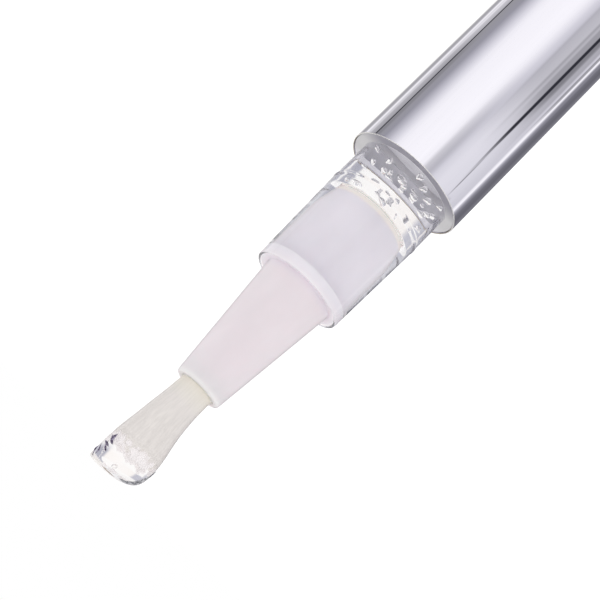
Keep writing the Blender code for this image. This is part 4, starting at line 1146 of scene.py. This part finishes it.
    def add_air(self):
        """Small air bubbles along the bead's right edge and one near its front."""
        pick = random.Random(3)
        shape = bmesh.new()
        places = []
        for number in range(7):
            places.append((2.0 - 0.1 * number, -0.75 - 0.1 * (number % 3), 7.3 + 0.27 * number, 1.0))
        for aside, deep, over, bigger in places + [(0.25, -1.55, 8.85, 1.6)]:
            spot = Vector((aside * MM, deep * MM, self.mouth + over * MM))
            made = bmesh.ops.create_uvsphere(shape, u_segments=18, v_segments=12, radius=1.0)
            size = Vector((pick.uniform(0.06, 0.12), pick.uniform(0.05, 0.1), pick.uniform(0.08, 0.17)))
            size *= bigger * MM
            turn = Matrix.Rotation(pick.uniform(-1, 1), 3, "Y")
            for point in made["verts"]:
                point.co = spot + turn @ Vector(part * grow for part, grow in zip(point.co, size))
        air = piece_of("bead_bubbles", shape, [bubble_skin()], sharp_degrees=80)
        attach(air, "barrel")


class PEN_OT_mechanism(PenOperator, bpy.types.Operator):
    """Gives the feed mechanism inside its plastics and steel"""

    bl_idname = "pen.mechanism"
    bl_label = "Mechanism"

    def execute(self, context):
        looks = {
            "tuft_collar": moulded_plastic("collar_plastic", (0.80, 0.77, 0.66), 0.4),
            "feed_tube": moulded_plastic("tube_plastic", (0.82, 0.82, 0.80), 0.3),
            "piston": moulded_plastic("piston_plastic", (0.84, 0.84, 0.82), 0.35),
            "feed_screw": moulded_plastic("screw_plastic", (0.83, 0.83, 0.80), 0.32),
            "feed_nut": moulded_plastic("nut_plastic", (0.76, 0.78, 0.81), 0.38),
            "drive_sleeve": moulded_plastic("drive_plastic", (0.70, 0.72, 0.76), 0.38),
            "ratchet_ring": moulded_plastic("ratchet_plastic", (0.20, 0.21, 0.24), 0.42),
            "click_ring": moulded_plastic("click_plastic", (0.80, 0.80, 0.76), 0.36),
            "knob_core": moulded_plastic("core_plastic", (0.09, 0.09, 0.11), 0.45),
            "retaining_ring": spring_steel(),
        }
        for node, material in looks.items():
            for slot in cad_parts[node].material_slots:
                slot.material = material
        return {"FINISHED"}


class PEN_PT_panel(bpy.types.Panel):
    """Sizes, colours and build steps of the pen"""

    bl_idname = "PEN_PT_panel"
    bl_label = "Twist Pen"
    bl_space_type = "VIEW_3D"
    bl_region_type = "UI"
    bl_category = "Twist Pen"

    def draw(self, context):
        for group in (context.scene.pen_sizes, context.scene.pen_colours, context.scene.pen_studio):
            box = self.layout.box()
            for name in group.__annotations__:
                box.prop(group, name)
        for operator in OPERATORS:
            self.layout.operator(operator.bl_idname)


OPERATORS = (
    PEN_OT_stage, PEN_OT_barrel, PEN_OT_knob, PEN_OT_clear_neck, PEN_OT_gel,
    PEN_OT_holder, PEN_OT_brush, PEN_OT_gel_bead, PEN_OT_mechanism,
)
CLASSES = (PenSizes, PenColours, StudioSettings, *OPERATORS, PEN_PT_panel)


def register():
    for made in CLASSES:
        bpy.utils.register_class(made)
    bpy.types.Scene.pen_sizes = PointerProperty(type=PenSizes)
    bpy.types.Scene.pen_colours = PointerProperty(type=PenColours)
    bpy.types.Scene.pen_studio = PointerProperty(type=StudioSettings)


def unregister():
    del bpy.types.Scene.pen_sizes, bpy.types.Scene.pen_colours, bpy.types.Scene.pen_studio
    for made in reversed(CLASSES):
        bpy.utils.unregister_class(made)


def main():
    register()
    bpy.ops.pen.stage()
    bpy.ops.pen.barrel()
    bpy.ops.pen.knob()
    bpy.ops.pen.clear_neck()
    bpy.ops.pen.gel()
    bpy.ops.pen.holder()
    bpy.ops.pen.brush()
    bpy.ops.pen.gel_bead()
    bpy.ops.pen.mechanism()


if __name__ == "__main__":
    main()
